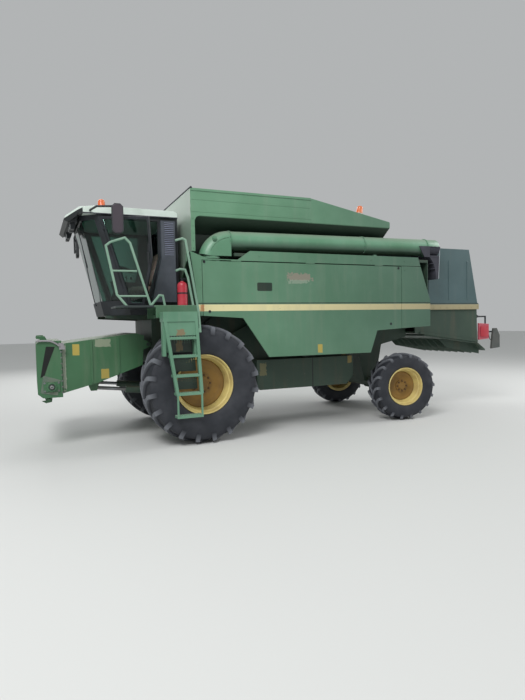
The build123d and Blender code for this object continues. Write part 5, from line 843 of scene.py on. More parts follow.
PANEL_Y = 1.4
LATCHES = ((-0.049, 2.728), (-3.62, 2.715), (-0.12, 1.985), (-3.45, 1.74))
LATCH_RING = (
    (0.0, 0.001), (0.0, 0.021), (0.004, 0.0205), (0.0045, 0.016), (0.0015, 0.015), (0.0015, 0.001)
)
TRIM_SCREWS = [(x, 2.84) for x in (-0.95, -1.65, -2.35, -3.05, -3.75)]
TRIM_SCREWS += [(0.008, z) for z in (2.05, 2.35, 2.62)]
TRIM_SCREWS += [(-3.75, 1.72), (-3.75, 2.68), (-4.27, 1.74), (-4.26, 2.1)]
for side_name, hand in (("left", 1), ("right", -1)):
    latch_pieces = []
    for x, z in LATCHES:
        ring = turned_up("latch", LATCH_RING, at(x, hand * PANEL_Y, z), Vector((0, hand, 0)))
        bar = block_outline(x - 0.011, x + 0.011, z - 0.003, z + 0.003, 0.0012)
        slot_bar = plate("latch_slot", bar, "Y", hand * (PANEL_Y + 0.0015), hand * 0.003)
        latch_pieces += [ring, slot_bar]
    latches = joined(f"lid_latches_{side_name}", latch_pieces)
    smooth(latches)
    fitted(latches, f"shield_{side_name}", black_steel)
    screws = [at(x, hand * PANEL_Y, z) for x, z in TRIM_SCREWS]
    trim_screws = bolt_heads(f"trim_screws_{side_name}", screws, (0, hand, 0), 0.007)
    fitted(trim_screws, "chassis", panel_green)
blank_outline = block_outline(-1.160, -0.905, 2.300, 2.430, 0.012)
blank_plate = plate("blank_plate", blank_outline, "Y", PANEL_Y + 0.0005, 0.0015)
fitted(blank_plate, "shield_left", riser_green)

# Unloading auger: a welded elbow with an inspection boss and an arc of weld, the flanged
# joints of the tube with their bolts, and the swivel collar under it. The tube rises 50 mm
# over its run of 4.37 m.
ELBOW_FACE = -0.500
ELBOW_Z = 2.745
ELBOW_CROWN = 0.487
ELBOW_HALF = 0.150
ELBOW_SWEEP = radians(76)
ELBOW_BOTTOM = 2.830
ARC_STEPS = 9
AUGER_Y = 1.218
AUGER_TOP_Z = 3.075
AUGER_R = 0.152
AUGER_END = -4.585
AUGER_TILT = 0.05 / 4.37
AUGER_JOINTS = (-0.500, -2.950, -4.310)
FLANGE_R = 0.164
FLANGE_BOLTS = 10
BOLT_CIRCLE = 0.158
WELD_R = 0.37
WELD_STEPS = 12
COLLAR_Z = 2.740
elbow_section = [(-ELBOW_HALF, 0.02), (-ELBOW_HALF, ELBOW_CROWN - ELBOW_HALF)]
for step in range(ARC_STEPS):
    angle = pi * (1 - (step + 0.5) / ARC_STEPS)
    crown = ELBOW_CROWN - ELBOW_HALF + ELBOW_HALF * sin(angle)
    elbow_section.append((ELBOW_HALF * cos(angle), crown))
elbow_section += [(ELBOW_HALF, ELBOW_CROWN - ELBOW_HALF), (ELBOW_HALF, 0.02)]
bpy.ops.object.select_all(action="DESELECT")
bpy.ops.mesh.primitive_circle_add(vertices=len(elbow_section), fill_type="NGON")
elbow = bpy.context.object
for vertex, (y, radius) in zip(elbow.data.vertices, elbow_section):
    vertex.co = at(ELBOW_FACE, AUGER_Y + y, ELBOW_Z + radius)
bpy.ops.object.mode_set(mode="EDIT")
bpy.ops.mesh.select_all(action="SELECT")
bpy.ops.mesh.spin(steps=28, angle=ELBOW_SWEEP, center=at(ELBOW_FACE, AUGER_Y, ELBOW_Z), axis=(0, -1, 0))
bpy.ops.mesh.select_all(action="SELECT")
bpy.ops.mesh.bisect(plane_co=at(0, 0, ELBOW_BOTTOM), plane_no=(0, 0, 1), clear_inner=True, use_fill=True)
bpy.ops.mesh.select_all(action="SELECT")
bpy.ops.mesh.remove_doubles(threshold=0.0003)
bpy.ops.mesh.normals_make_consistent(inside=False)
bpy.ops.object.mode_set(mode="OBJECT")


def tube_place(x):
    """The middle of the tube at a place along the machine."""
    return at(x, AUGER_Y, AUGER_TOP_Z + AUGER_TILT * (ELBOW_FACE - x))


tube_run = tube_place(AUGER_END) - tube_place(ELBOW_FACE)
tube_direction = tube_run.normalized()
tube_length = tube_run.length
tube_outline = [
    (-0.02, 0.001),
    (-0.02, AUGER_R),
    (0.30, AUGER_R),
    (0.302, AUGER_R + 0.0015),
    (tube_length - 0.30, AUGER_R + 0.0015),
    (tube_length - 0.298, AUGER_R),
    (tube_length - 0.02, AUGER_R),
    (tube_length - 0.006, AUGER_R - 0.006),
    (tube_length, AUGER_R - 0.03),
    (tube_length, 0.001),
]
auger_pieces = [elbow, turned_up("auger_run", tube_outline, tube_place(ELBOW_FACE), tube_direction)]
flange_outline = (
    (0.0, AUGER_R - 0.01),
    (0.0, FLANGE_R - 0.004),
    (0.003, FLANGE_R),
    (0.0065, FLANGE_R),
    (0.008, FLANGE_R - 0.003),
    (0.0095, FLANGE_R),
    (0.013, FLANGE_R),
    (0.016, FLANGE_R - 0.004),
    (0.016, AUGER_R - 0.01),
)
for joint_x in AUGER_JOINTS:
    auger_pieces.append(turned_up("auger_flange", flange_outline, tube_place(joint_x), tube_direction))
weld_arc = []
for step in range(WELD_STEPS + 1):
    angle = radians(6 + 58 * step / WELD_STEPS)
    weld = at(ELBOW_FACE + WELD_R * sin(angle), AUGER_Y + ELBOW_HALF, ELBOW_Z + WELD_R * cos(angle))
    weld_arc.append(weld)
auger_pieces.append(pipe("elbow_weld", weld_arc, 0.004))
boss_outline = (
    (-0.006, 0.001), (-0.006, 0.038), (0.005, 0.036), (0.006, 0.020), (0.016, 0.018), (0.017, 0.001)
)
boss_place = at(-0.235, AUGER_Y + ELBOW_HALF, 3.09)
auger_pieces.append(turned_up("elbow_boss", boss_outline, boss_place, Vector((0, 1, 0))))
collar_outline = (
    (0.001, 0.001),
    (0.001, 0.146),
    (0.050, 0.146),
    (0.052, 0.153),
    (0.074, 0.153),
    (0.076, 0.146),
    (0.120, 0.146),
    (0.120, 0.001),
)
collar_place = Vector((joints["auger_swing"]["pos_m"][0], AUGER_Y, COLLAR_Z))
auger_pieces.append(turned_up("swivel_collar", collar_outline, collar_place))
auger_body = joined("auger_dressed", auger_pieces)
smooth(auger_body)
fitted(auger_body, "auger", auger_paint)
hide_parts("auger_tube")
flange_places = []
for joint_x in AUGER_JOINTS[:2]:
    for count in range(FLANGE_BOLTS):
        angle = 2 * pi * (count + 0.5) / FLANGE_BOLTS
        round_tube = Vector((0.006, BOLT_CIRCLE * cos(angle), BOLT_CIRCLE * sin(angle)))
        flange_places.append(tube_place(joint_x) + round_tube)
flange_bolts = bolt_heads("auger_flange_bolts", flange_places, (1, 0, 0), 0.006)
fitted(flange_bolts, "auger", bare_steel)

# Spout: moulded rubber that laps round the lower half of the tube's end, with a clamp at its
# head, two ribs, a cheek on each side and a pale steel strip down each rear edge.
pale_strip = plain_finish("zinc plated strip", "#A8AEB4", "#8F959B", 0.45, metallic=0.3)
# Each band lies this far below the spout's top and is this high. The front of the spout slants
# back and its rear forwards, by these shares of the drop.
SPOUT_BANDS = ((0.035, 0.022), (0.150, 0.012), (0.245, 0.012))
SPOUT_FRONT_SLANT = 0.42
SPOUT_REAR_SLANT = 0.06
BAND_PROUD = 0.003
SLEEVE_OUTER = AUGER_R + 0.009
SLEEVE_INNER = AUGER_R + 0.002
SLEEVE_START = AUGER_END + 0.004
SLEEVE_LENGTH = 0.244
SLEEVE_STEPS = 16
CHEEK_OUTLINE = ((-4.340, 3.130), (-4.100, 3.125), (-4.215, 2.935), (-4.340, 2.935))
CHEEK_SIDE = 0.1535
CHEEK_THICK = 0.0145
STRIP_SIDE = 0.147
spout_low, spout_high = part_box("auger_spout")
spout_pieces = []
for drop, band_height in SPOUT_BANDS:
    band_outline = block_outline(
        spout_low[0] - AXLE_X + SPOUT_REAR_SLANT * drop - BAND_PROUD,
        spout_high[0] - AXLE_X - SPOUT_FRONT_SLANT * drop + BAND_PROUD,
        spout_low[1] - BAND_PROUD,
        spout_high[1] + BAND_PROUD,
        0.012,
    )
    band = plate("spout_band", band_outline, "Z", spout_high[2] - drop, band_height)
    softened(band, 0.003)
    spout_pieces.append(band)
sleeve_z = tube_place(AUGER_END + 0.12).z
half_turn = [pi + pi * step / SLEEVE_STEPS for step in range(SLEEVE_STEPS + 1)]
sleeve_outline = []
for sleeve_r, angles in ((SLEEVE_OUTER, half_turn), (SLEEVE_INNER, half_turn[::-1])):
    for angle in angles:
        sleeve_outline.append((AUGER_Y + sleeve_r * cos(angle), sleeve_z + sleeve_r * sin(angle)))
spout_pieces.append(plate("spout_sleeve", sleeve_outline, "X", SLEEVE_START, SLEEVE_LENGTH))
for hand in (1, -1):
    bead_y = AUGER_Y + hand * (AUGER_R + 0.006)
    bead_line = [at(x, bead_y, sleeve_z) for x in (SLEEVE_START, SLEEVE_START + SLEEVE_LENGTH)]
    spout_pieces.append(pipe("sleeve_bead", bead_line, 0.010))
for hand in (1, -1):
    cheek_y = AUGER_Y + hand * CHEEK_SIDE
    spout_pieces.append(plate("spout_cheek", CHEEK_OUTLINE, "Y", cheek_y, hand * CHEEK_THICK))
spout_dress = joined("spout_bands", spout_pieces)
smooth(spout_dress)
fitted(spout_dress, "auger", rubber)
edge_strips = []
for hand in (1, -1):
    edge_y = AUGER_Y + hand * STRIP_SIDE
    edge_line = [
        at(AUGER_END + 0.001, edge_y, sleeve_z),
        at(AUGER_END + 0.006, edge_y, spout_high[2]),
        at(AUGER_END + 0.030, edge_y, spout_low[2] + 0.006),
    ]
    edge_strips.append(pipe("edge_strip", edge_line, 0.006))
spout_edges = joined("spout_edge_strips", edge_strips)
smooth(spout_edges)
fitted(spout_edges, "auger", pale_strip)

# Cab roof: a dark liner under the visor with the work lamps set in it, each lamp with its
# ribbed glass, and a rubber strip round the roof's foot.
lamp_glass = new_material("ribbed lamp glass over a bright reflector")
lamp_place = add(lamp_glass, "TexCoord").outputs["Object"]
lamp_ribs = add(lamp_glass, "TexWave", {"Vector": lamp_place, "Scale": 38.0}, bands_direction="Y")
lamp_relief = add(
    lamp_glass, "Bump", {"Height": lamp_ribs.outputs["Fac"], "Strength": 0.6, "Distance": 0.003}
)
lamp_shader = add(
    lamp_glass,
    "BsdfPrincipled",
    {
        "Base Color": linear("#C9CED0"),
        "Roughness": 0.12,
        "Metallic": 0.55,
        "Normal": lamp_relief,
        "Coat Weight": 1.0,
        "Coat Roughness": 0.03,
    },
)
add(lamp_glass, "OutputMaterial", {"Surface": lamp_shader})
LAMP_FRONT = 1.763
LAMP_MIDDLE_Z = 3.298
LAMP_PLACES = (0.56, 0.33, -0.33, -0.56)
# Half width, half height, cut corner, start and thickness of each lens and each bezel.
LENS_SIZES = (0.062, 0.036, 0.012, LAMP_FRONT - 0.004, 0.010)
BEZEL_SIZES = (0.073, 0.045, 0.014, LAMP_FRONT - 0.012, 0.012)
for lamp_part, slot, material, lamp_sizes in (
    ("work_lamp_lenses", "glass", lamp_glass, LENS_SIZES),
    ("work_lamp_bezels", "black_metal", black_steel, BEZEL_SIZES),
):
    half_y, half_z, corner, start, thickness = lamp_sizes
    fronts = []
    for y in LAMP_PLACES:
        outline = block_outline(
            y - half_y, y + half_y, LAMP_MIDDLE_Z - half_z, LAMP_MIDDLE_Z + half_z, corner
        )
        front = plate("lamp_front", outline, "X", start, thickness)
        softened(front, 0.003)
        fronts.append(front)
    lamp_fronts = joined(lamp_part, fronts)
    fitted(lamp_fronts, "chassis", material)
# The liner spans the visor, and the strip runs along both sides of the roof.
VISOR_HALF = 0.712
ROOF_FOOT_Y = 0.873
ROOF_FOOT_Z = 3.455
LINER_OUTLINE = (
    (1.672, 3.447), (1.672, 3.341), (1.788, 3.341), (1.798, 3.327), (1.804, 3.327), (1.792, 3.345)
)
visor_liner = plate("visor_liner", LINER_OUTLINE, "Y", VISOR_HALF, -2 * VISOR_HALF)
fitted(visor_liner, "chassis", cab_plastic)
seals = []
for hand in (1, -1):
    seal_line = [at(x, hand * ROOF_FOOT_Y, ROOF_FOOT_Z) for x in (0.20, 1.60)]
    seals.append(pipe("roof_seal", seal_line, 0.009))
roof_seals = joined("roof_seals", seals)
smooth(roof_seals)
fitted(roof_seals, "chassis", rubber)

# Beacons: an amber dome with moulded rings on a pale base, one upright on the roof and one
# square to the hood, whose top falls evenly between two places behind the axle.
pale_plastic = plain_finish("pale moulded plastic", "#C9C6BE", "#B2AEA4", 0.5)
HOOD_START, HOOD_START_Z = 1.930, 3.830
HOOD_END, HOOD_END_Z = 3.520, 3.530
HOOD_FALL = (HOOD_START_Z - HOOD_END_Z) / (HOOD_END - HOOD_START)
HOOD_BEACON = 2.970
HOOD_BEACON_Z = HOOD_START_Z - HOOD_FALL * (HOOD_BEACON - HOOD_START)
BEACONS = ((1.290, 0.500, 3.570, 0.0), (-HOOD_BEACON, 1.150, HOOD_BEACON_Z, HOOD_FALL))
DOME_OUTLINE = (
    (0.045, 0.001),
    (0.045, 0.058),
    (0.062, 0.0585),
    (0.067, 0.0555),
    (0.086, 0.0565),
    (0.091, 0.0535),
    (0.110, 0.0545),
    (0.115, 0.0515),
    (0.134, 0.0525),
    (0.150, 0.050),
    (0.164, 0.043),
    (0.173, 0.028),
    (0.177, 0.001),
)
BASE_OUTLINE = (
    (0.0, 0.001), (0.0, 0.064), (0.010, 0.066), (0.030, 0.061), (0.044, 0.060), (0.0445, 0.001)
)
domes = []
bases = []
for x, y, z, fall in BEACONS:
    upright = Vector((-fall, 0, 1)).normalized()
    domes.append(turned_up("beacon_dome", DOME_OUTLINE, at(x, y, z), upright))
    bases.append(turned_up("beacon_base", BASE_OUTLINE, at(x, y, z), upright))
beacon_domes = joined("beacon_domes", domes)
smooth(beacon_domes)
fitted(beacon_domes, "chassis", amber)
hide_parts("beacons")
beacon_bases = joined("beacon_bases", bases)
smooth(beacon_bases)
fitted(beacon_bases, "chassis", pale_plastic)

# Louvred corner of the cab: a thin steel blade in each slot, its lip turned out, in a grey paler
# than the panel's. The blades run forwards from near the panel's rear edge.
LOUVRE_HEAD = 3.372
LOUVRE_PITCH = 0.0285
LOUVRE_BLADES = 18
LOUVRE_START = 0.2845
LOUVRE_LENGTH = 0.144
louvre_grey = plain_finish("pale grey louvre blades", "#7B8092", "#8C90A0", 0.5)
blades = []
for count in range(LOUVRE_BLADES):
    slot_top = LOUVRE_HEAD - count * LOUVRE_PITCH
    slot_foot = slot_top - LOUVRE_PITCH / 2
    blade_outline = (
        (0.926, slot_top - 0.002),
        (0.926, slot_top - 0.004),
        (0.941, slot_foot - 0.001),
        (0.945, slot_foot - 0.005),
        (0.9465, slot_foot - 0.004),
        (0.9425, slot_foot + 0.003),
    )
    blades.append(plate("louvre_blade", blade_outline, "X", LOUVRE_START, LOUVRE_LENGTH))
louvre_blades = joined("louvre_blades", blades)
fitted(louvre_blades, "chassis", louvre_grey)

# Mirrors: silvered glass under a film of dust, cut with round corners and set into each
# housing behind a thin bead.
silvered = new_material("silvered mirror glass with a film of dust")
mirror_place = add(silvered, "TexCoord").outputs["Object"]
mirror_film = add(silvered, "TexNoise", {"Vector": mirror_place, "Scale": 7.0, "Detail": 6.0})
mirror_gloss = add(silvered, "MapRange", {"Value": mirror_film, "To Min": 0.06, "To Max": 0.38})
mirror_shader = add(
    silvered,
    "BsdfPrincipled",
    {"Base Color": linear("#5F585F"), "Metallic": 0.6, "Roughness": mirror_gloss},
)
add(silvered, "OutputMaterial", {"Surface": mirror_shader})
MIRROR_FOOT = 3.113
MIRROR_HEAD = 3.507
MIRROR_CORNER = 0.034
left_outline = block_outline(1.107, 1.243, MIRROR_FOOT, MIRROR_HEAD, MIRROR_CORNER)
left_glass = plate("mirror_glass_left", left_outline, "Y", 1.3195, 0.003)
inner_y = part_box("mirror_right")[0][1]
right_outline = block_outline(inner_y + 0.012, inner_y + 0.228, MIRROR_FOOT, MIRROR_HEAD, MIRROR_CORNER)
right_glass = plate("mirror_glass_right", right_outline, "X", 1.4805, -0.003)
mirror_glasses = joined("mirror_glasses", [left_glass, right_glass])
softened(mirror_glasses, 0.0012)
fitted(mirror_glasses, "chassis", silvered)

# Windshield wiper: an arm bent over its motor cap at the windshield's foot, with its blade
# parked left of the middle.
WIPER_FOOT = (1.372, -0.10, 2.165)
WIPER_KNEE = (1.420, 0.02, 2.330)
WIPER_TIP = (1.575, 0.26, 3.060)
WIPER_CAP = (1.352, -0.10, 2.160)
BLADE_FOOT = (1.500, 0.245, 2.720)
BLADE_HEAD = (1.640, 0.275, 3.350)
wiper_parts = [
    pipe("wiper_arm", [at(*WIPER_FOOT), at(*WIPER_KNEE), at(*WIPER_TIP)], 0.007),
    pipe("wiper_blade", [at(*BLADE_FOOT), at(*BLADE_HEAD)], 0.006),
    turned_up(
        "wiper_cap",
        ((0.0, 0.001), (0.0, 0.030), (0.018, 0.026), (0.024, 0.012), (0.024, 0.001)),
        at(*WIPER_CAP),
        Vector((1, 0, -0.15)),
    ),
]
wiper = joined("windshield_wiper", wiper_parts)
smooth(wiper)
fitted(wiper, "chassis", black_steel)

# Cab inside: the steering wheel's thick grip and its boss, and the levers on the console with
# their knobs, all in moulded plastic.
GRIP_R = 0.195
GRIP_THICK = 0.015
# Place of each lever's foot ahead and to the left, and how far it stands up.
LEVERS = ((0.86, -0.40, 0.14), (0.93, -0.47, 0.11), (0.78, -0.44, 0.10), (0.70, -0.40, 0.08))
CONSOLE_Z = 2.545
KNOB_OUTLINE = (
    (-0.022, 0.001), (-0.022, 0.010), (-0.008, 0.019), (0.008, 0.020), (0.020, 0.013), (0.024, 0.001)
)
wheel_tilt = Vector((-0.28, 0, 0.96)).normalized()
wheel_middle = at(0.955, 0, 2.735)
grip_ring = []
for step in range(12):
    angle = 2 * pi * step / 12
    grip_ring.append((0.012 + GRIP_THICK * sin(angle), GRIP_R + GRIP_THICK * cos(angle)))
cab_fittings = [
    turned_up("steering_grip", grip_ring, wheel_middle, wheel_tilt),
    turned_up(
        "steering_boss",
        ((0.010, 0.001), (0.010, 0.045), (0.026, 0.050), (0.042, 0.036), (0.046, 0.001)),
        wheel_middle,
        wheel_tilt,
    ),
]
for x, y, height in LEVERS:
    lever_foot = at(x, y, CONSOLE_Z)
    lever_top = lever_foot + Vector((0.02, 0, height))
    cab_fittings.append(pipe("lever", [lever_foot, lever_top], 0.006))
    cab_fittings.append(turned_up("lever_knob", KNOB_OUTLINE, lever_top))
cab_interior = joined("cab_interior_fittings", cab_fittings)
smooth(cab_interior)
fitted(cab_interior, "chassis", cab_plastic)

# Door: a pull handle and a lock on its rear bar. They are placed on the closed door and
# then swung out with it.
DOOR_OPEN = radians(50)
door_joint = joints["cab_door_hinge"]
door_place = Matrix.Translation(door_joint["pos_m"])
swing = door_place @ Matrix.Rotation(DOOR_OPEN, 4, Vector(door_joint["axis"])) @ door_place.inverted()
HANDLE_X = 0.520
handle = pipe(
    "door_handle",
    [
        at(HANDLE_X, 0.885, 2.920),
        at(HANDLE_X, 0.930, 2.905),
        at(HANDLE_X, 0.930, 2.730),
        at(HANDLE_X, 0.885, 2.715),
    ],
    0.009,
)
lock_plate = plate("door_lock", block_outline(0.500, 0.540, 2.930, 3.030, 0.008), "Y", 0.888, 0.010)
softened(lock_plate, 0.002)
door_fittings = joined("door_fittings", [handle, lock_plate])
smooth(door_fittings)
door_fittings.data.transform(swing)
fitted(door_fittings, "door", black_steel)

# Driver's seat: foam pads under woven cloth, swelled in their covers by cloth simulation,
# with three sewn channels across the cushion and three across the backrest.
CUSHION_SIDE = (
    (0.400, 2.350), (0.835, 2.350), (0.842, 2.385), (0.835, 2.428), (0.520, 2.436), (0.410, 2.425)
)
BACK_SIDE = ((0.392, 2.470), (0.480, 2.470), (0.398, 2.985), (0.360, 2.998), (0.316, 2.985))
SEAT_HALF = 0.222
PAD_VOXEL = 0.008
PAD_SWELL = 0.014
STUFFING_STEPS = 20
# Below the first height lies the cushion, above it the backrest. The channels draw in only
# the cushion's top and the backrest's front, ahead of a slope up through its middle.
PADS_PART_Z = 2.462
CUSHION_TOP_Z = 2.40
BACK_MIDDLE_X = 0.43
CUSHION_CHANNELS = (0.515, 0.625, 0.735)
BACK_CHANNELS = (2.60, 2.73, 2.86)
CHANNEL_DEPTH = 0.007
CHANNEL_WIDTH = 0.008
pads = [
    plate("seat_pad", CUSHION_SIDE, "Y", -SEAT_HALF, 2 * SEAT_HALF),
    plate("back_pad", BACK_SIDE, "Y", -SEAT_HALF, 2 * SEAT_HALF),
]
for pad in pads:
    softened(pad, 0.028, segments=4)
seat_pads = joined("seat_pads", pads)
skin = seat_pads.modifiers.new("even skin", "REMESH")
skin.mode = "VOXEL"
skin.voxel_size = PAD_VOXEL
bpy.ops.object.modifier_apply(modifier=skin.name)
start = [vertex.co.copy() for vertex in seat_pads.data.vertices]
stuffing = seat_pads.modifiers.new("stuffing", "CLOTH")
stuffing.settings.use_pressure = True
stuffing.settings.uniform_pressure_force = 4
stuffing.settings.effector_weights.gravity = 0
for step in range(1, STUFFING_STEPS + 1):
    bpy.context.scene.frame_set(step)
bpy.ops.object.modifier_apply(modifier=stuffing.name)
bpy.context.scene.frame_set(1)
for vertex, first in zip(seat_pads.data.vertices, start):
    move = vertex.co - first
    if move.length > PAD_SWELL:
        vertex.co = first + move * (PAD_SWELL / move.length)
back_slope = (BACK_SIDE[2][0] - BACK_SIDE[1][0]) / (BACK_SIDE[2][1] - BACK_SIDE[1][1])
for vertex in seat_pads.data.vertices:
    x, y, z = vertex.co.x - AXLE_X, vertex.co.y, vertex.co.z
    on_cushion = z < PADS_PART_Z
    for channel in CUSHION_CHANNELS if on_cushion else BACK_CHANNELS:
        away = (x if on_cushion else z) - channel
        depth = CHANNEL_DEPTH * exp(-((away / CHANNEL_WIDTH) ** 2))
        if on_cushion and z > CUSHION_TOP_Z:
            vertex.co.z -= depth
        if not on_cushion and x > BACK_MIDDLE_X + back_slope * (z - BACK_SIDE[0][1]):
            vertex.co.x -= depth
finer = seat_pads.modifiers.new("finer cloth", "SUBSURF")
finer.levels = 1
finer.render_levels = 1
smooth(seat_pads, radians(60))
fitted(seat_pads, "chassis", seat_cloth)
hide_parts("seat")

# Ladder: dark risers pierced with three rows of holes behind the steps, and a plain plate over
# the top gap. The stringers stand closer together at the foot.
LADDER_FLOOR_Z = 0.8
LADDER_RISE = 1.1
HOLE_SIDES = 12
HOLES_ACROSS = 10
# How far below the riser's upper edge each row lies, and the radius of its holes.
HOLE_ROWS = ((0.030, 0.008), (0.056, 0.005), (0.078, 0.003))
RISERS = ((1.396, 1.596), (1.118, 1.322), (0.856, 1.044))
RISER_Y = 1.549
TOP_PLATE_Y = 1.684


def pierced(name, outline, holes, start, thickness):
    """A plate facing left with round holes; the outline is (x, z), each hole (x, z, radius)."""
    sheet = bpy.data.curves.new(name, "CURVE")
    sheet.dimensions = "2D"
    sheet.fill_mode = "BOTH"
    sheet.extrude = thickness / 2
    loops = [outline]
    for x, z, radius in holes:
        turns = [2 * pi * step / HOLE_SIDES for step in range(HOLE_SIDES)]
        loops.append([(x + radius * cos(turn), z + radius * sin(turn)) for turn in turns])
    for loop in loops:
        spline = sheet.splines.new("POLY")
        spline.points.add(len(loop) - 1)
        for point, (x, z) in zip(spline.points, loop):
            point.co = (AXLE_X + x, z, 0, 1)
        spline.use_cyclic_u = True
    piece = meshed(name, sheet)
    placed = Matrix.Translation((0, start + thickness / 2, 0)) @ Matrix.Rotation(pi / 2, 4, "X")
    piece.data.transform(placed)
    bpy.ops.object.mode_set(mode="EDIT")
    bpy.ops.mesh.select_all(action="SELECT")
    bpy.ops.mesh.remove_doubles(threshold=0.0002)
    bpy.ops.mesh.normals_make_consistent(inside=False)
    bpy.ops.object.mode_set(mode="OBJECT")
    return piece


def ladder_gap(z):
    """The inner edges of the two stringers, which spread upwards."""
    rise = (z - LADDER_FLOOR_Z) / LADDER_RISE
    return 0.145 + 0.06 * rise, 0.455 + 0.16 * rise


def riser_outline(low, high):
    """The four corners of a plate between the stringers."""
    low_rear, low_front = ladder_gap(low)
    high_rear, high_front = ladder_gap(high)
    return [(low_rear, low), (low_front, low), (high_front, high), (high_rear, high)]


risers = []
for low, high in RISERS:
    rear, front = ladder_gap(high)
    holes = []
    for count in range(HOLES_ACROSS):
        x = rear + (front - rear) * (count + 0.5) / HOLES_ACROSS
        holes += [(x, high - drop, radius) for drop, radius in HOLE_ROWS]
    risers.append(pierced("riser", riser_outline(low, high), holes, RISER_Y, 0.003))
dressed_risers = joined("ladder_risers", risers)
fitted(dressed_risers, "chassis", riser_green)
top_plate = pierced("ladder_top_plate", riser_outline(1.640, 1.858), [], TOP_PLATE_Y, 0.004)
fitted(top_plate, "chassis", step_green)

# Fire extinguisher: a drawn steel bottle with a rolled foot, a black valve with its lever and
# grip, and the strap that holds the bottle to its bracket.
bottle_foot = at(0.275, 1.330, 2.080)
bottle = turned_up(
    "extinguisher_bottle",
    (
        (0.0, 0.001),
        (0.0, 0.074),
        (0.012, 0.0765),
        (0.020, 0.0745),
        (0.290, 0.0745),
        (0.312, 0.070),
        (0.332, 0.058),
        (0.346, 0.040),
        (0.352, 0.026),
        (0.360, 0.024),
        (0.360, 0.001),
    ),
    bottle_foot,
)
smooth(bottle)
fitted(bottle, "chassis", red_paint)
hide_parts("fire_extinguisher")
valve_parts = [
    turned_up(
        "valve_body",
        ((0.352, 0.001), (0.352, 0.020), (0.392, 0.020), (0.396, 0.014), (0.402, 0.014), (0.402, 0.001)),
        bottle_foot,
    )
]
# Both ends of each bar ahead of the bottle's middle and above its foot, and the bar's radius.
VALVE_BARS = (
    ("valve_lever", (0.03, 0.398), (-0.092, 0.404), 0.007),
    ("valve_grip", (0.02, 0.380), (-0.082, 0.376), 0.006),
)
for bar_name, fore, rear, bar_r in VALVE_BARS:
    bar_line = [bottle_foot + Vector((x, 0, z)) for x, z in (fore, rear)]
    valve_parts.append(pipe(bar_name, bar_line, bar_r))
valve_parts.append(
    turned_up(
        "bottle_strap", ((0.170, 0.0735), (0.170, 0.0765), (0.192, 0.0765), (0.192, 0.0735)), bottle_foot
    )
)
valve = joined("extinguisher_valve", valve_parts)
smooth(valve)
fitted(valve, "chassis", black_steel)

# Feeder and adapter: the bearing of the header drive on its dusty plate, with the end of the
# drive's shaft and four bolts, the black cover over the belt's slot, the lever that latches a
# header, and a row of bolts down each side flange.
FEEDER_SIDE_Y = 0.780
ADAPTER_FACE_Y = 0.7803
BEARING_X = 2.110
BEARING_Z = 0.930
FLANGE_BOLT_HEIGHTS = [0.84 + 0.085 * count for count in range(9)]
galvanised = plain_finish("galvanised steel gone dull", "#9B989C", "#7F7C7C", 0.5, metallic=0.4)
dusty_plate = plain_finish(
    "green plate under a coat of dust", "#5F6F62", "#7D8476", 0.8, grain=30.0, bump=0.1
)
rubber_black = plain_finish("black belt rubber", "#101312", "#1D211E", 0.8)
bearing_place = at(BEARING_X, FEEDER_SIDE_Y, BEARING_Z)
bearing = turned_up(
    "drive_bearing",
    (
        (0.015, 0.001),
        (0.015, 0.064),
        (0.022, 0.066),
        (0.034, 0.058),
        (0.044, 0.056),
        (0.046, 0.040),
        (0.040, 0.036),
        (0.040, 0.001),
    ),
    bearing_place,
    Vector((0, 1, 0)),
)
smooth(bearing)
fitted(bearing, "feeder", black_steel)
shaft_end = turned_up(
    "header_drive_shaft",
    ((0.040, 0.001), (0.040, 0.026), (0.066, 0.026), (0.070, 0.021), (0.070, 0.001)),
    bearing_place,
    Vector((0, 1, 0)),
)
smooth(shaft_end)
fitted(shaft_end, "feeder", galvanised)
bearing_plate = plate(
    "bearing_plate",
    ((2.035, 0.802), (2.245, 0.842), (2.262, 0.858), (2.222, 1.085), (2.208, 1.098), (1.985, 1.022)),
    "Y",
    ADAPTER_FACE_Y,
    0.006,
)
softened(bearing_plate, 0.002)
fitted(bearing_plate, "feeder", dusty_plate)
slot_cover = plate(
    "belt_slot_cover",
    ((2.050, 1.512), (2.168, 1.518), (2.215, 1.290), (2.258, 1.065), (2.200, 1.104), (2.150, 1.250)),
    "Y",
    ADAPTER_FACE_Y,
    0.004,
)
softened(slot_cover, 0.001)
fitted(slot_cover, "feeder", rubber_black)
bearing_bolts = bolt_heads(
    "bearing_bolts",
    [at(BEARING_X + dx, 0.795, BEARING_Z + dz) for dx in (-0.095, 0.095) for dz in (-0.058, 0.058)],
    (0, 1, 0),
    0.010,
)
fitted(bearing_bolts, "feeder", bare_steel)
latch_lever = pipe(
    "latch_lever",
    [at(2.300, 0.800, 1.600), at(2.170, 0.804, 1.606), at(2.060, 0.804, 1.588), at(1.985, 0.800, 1.520)],
    0.014,
    curved=True,
)
bracket_outline = ((1.905, 1.470), (1.990, 1.470), (2.000, 1.570), (1.930, 1.560))
lever_bracket = plate("latch_bracket", bracket_outline, "Y", ADAPTER_FACE_Y + 0.0002, 0.014)
latch_parts = joined("header_latch", [latch_lever, lever_bracket])
smooth(latch_parts)
fitted(latch_parts, "feeder", galvanised)
flange_rows = []
for hand in (1, -1):
    row = [at(1.966, hand * 0.782, z) for z in FLANGE_BOLT_HEIGHTS]
    flange_rows.append(bolt_heads("adapter_bolt_row", row, (0, hand, 0), 0.008))
adapter_bolts = joined("adapter_bolts", flange_rows)
fitted(adapter_bolts, "feeder", bare_steel)

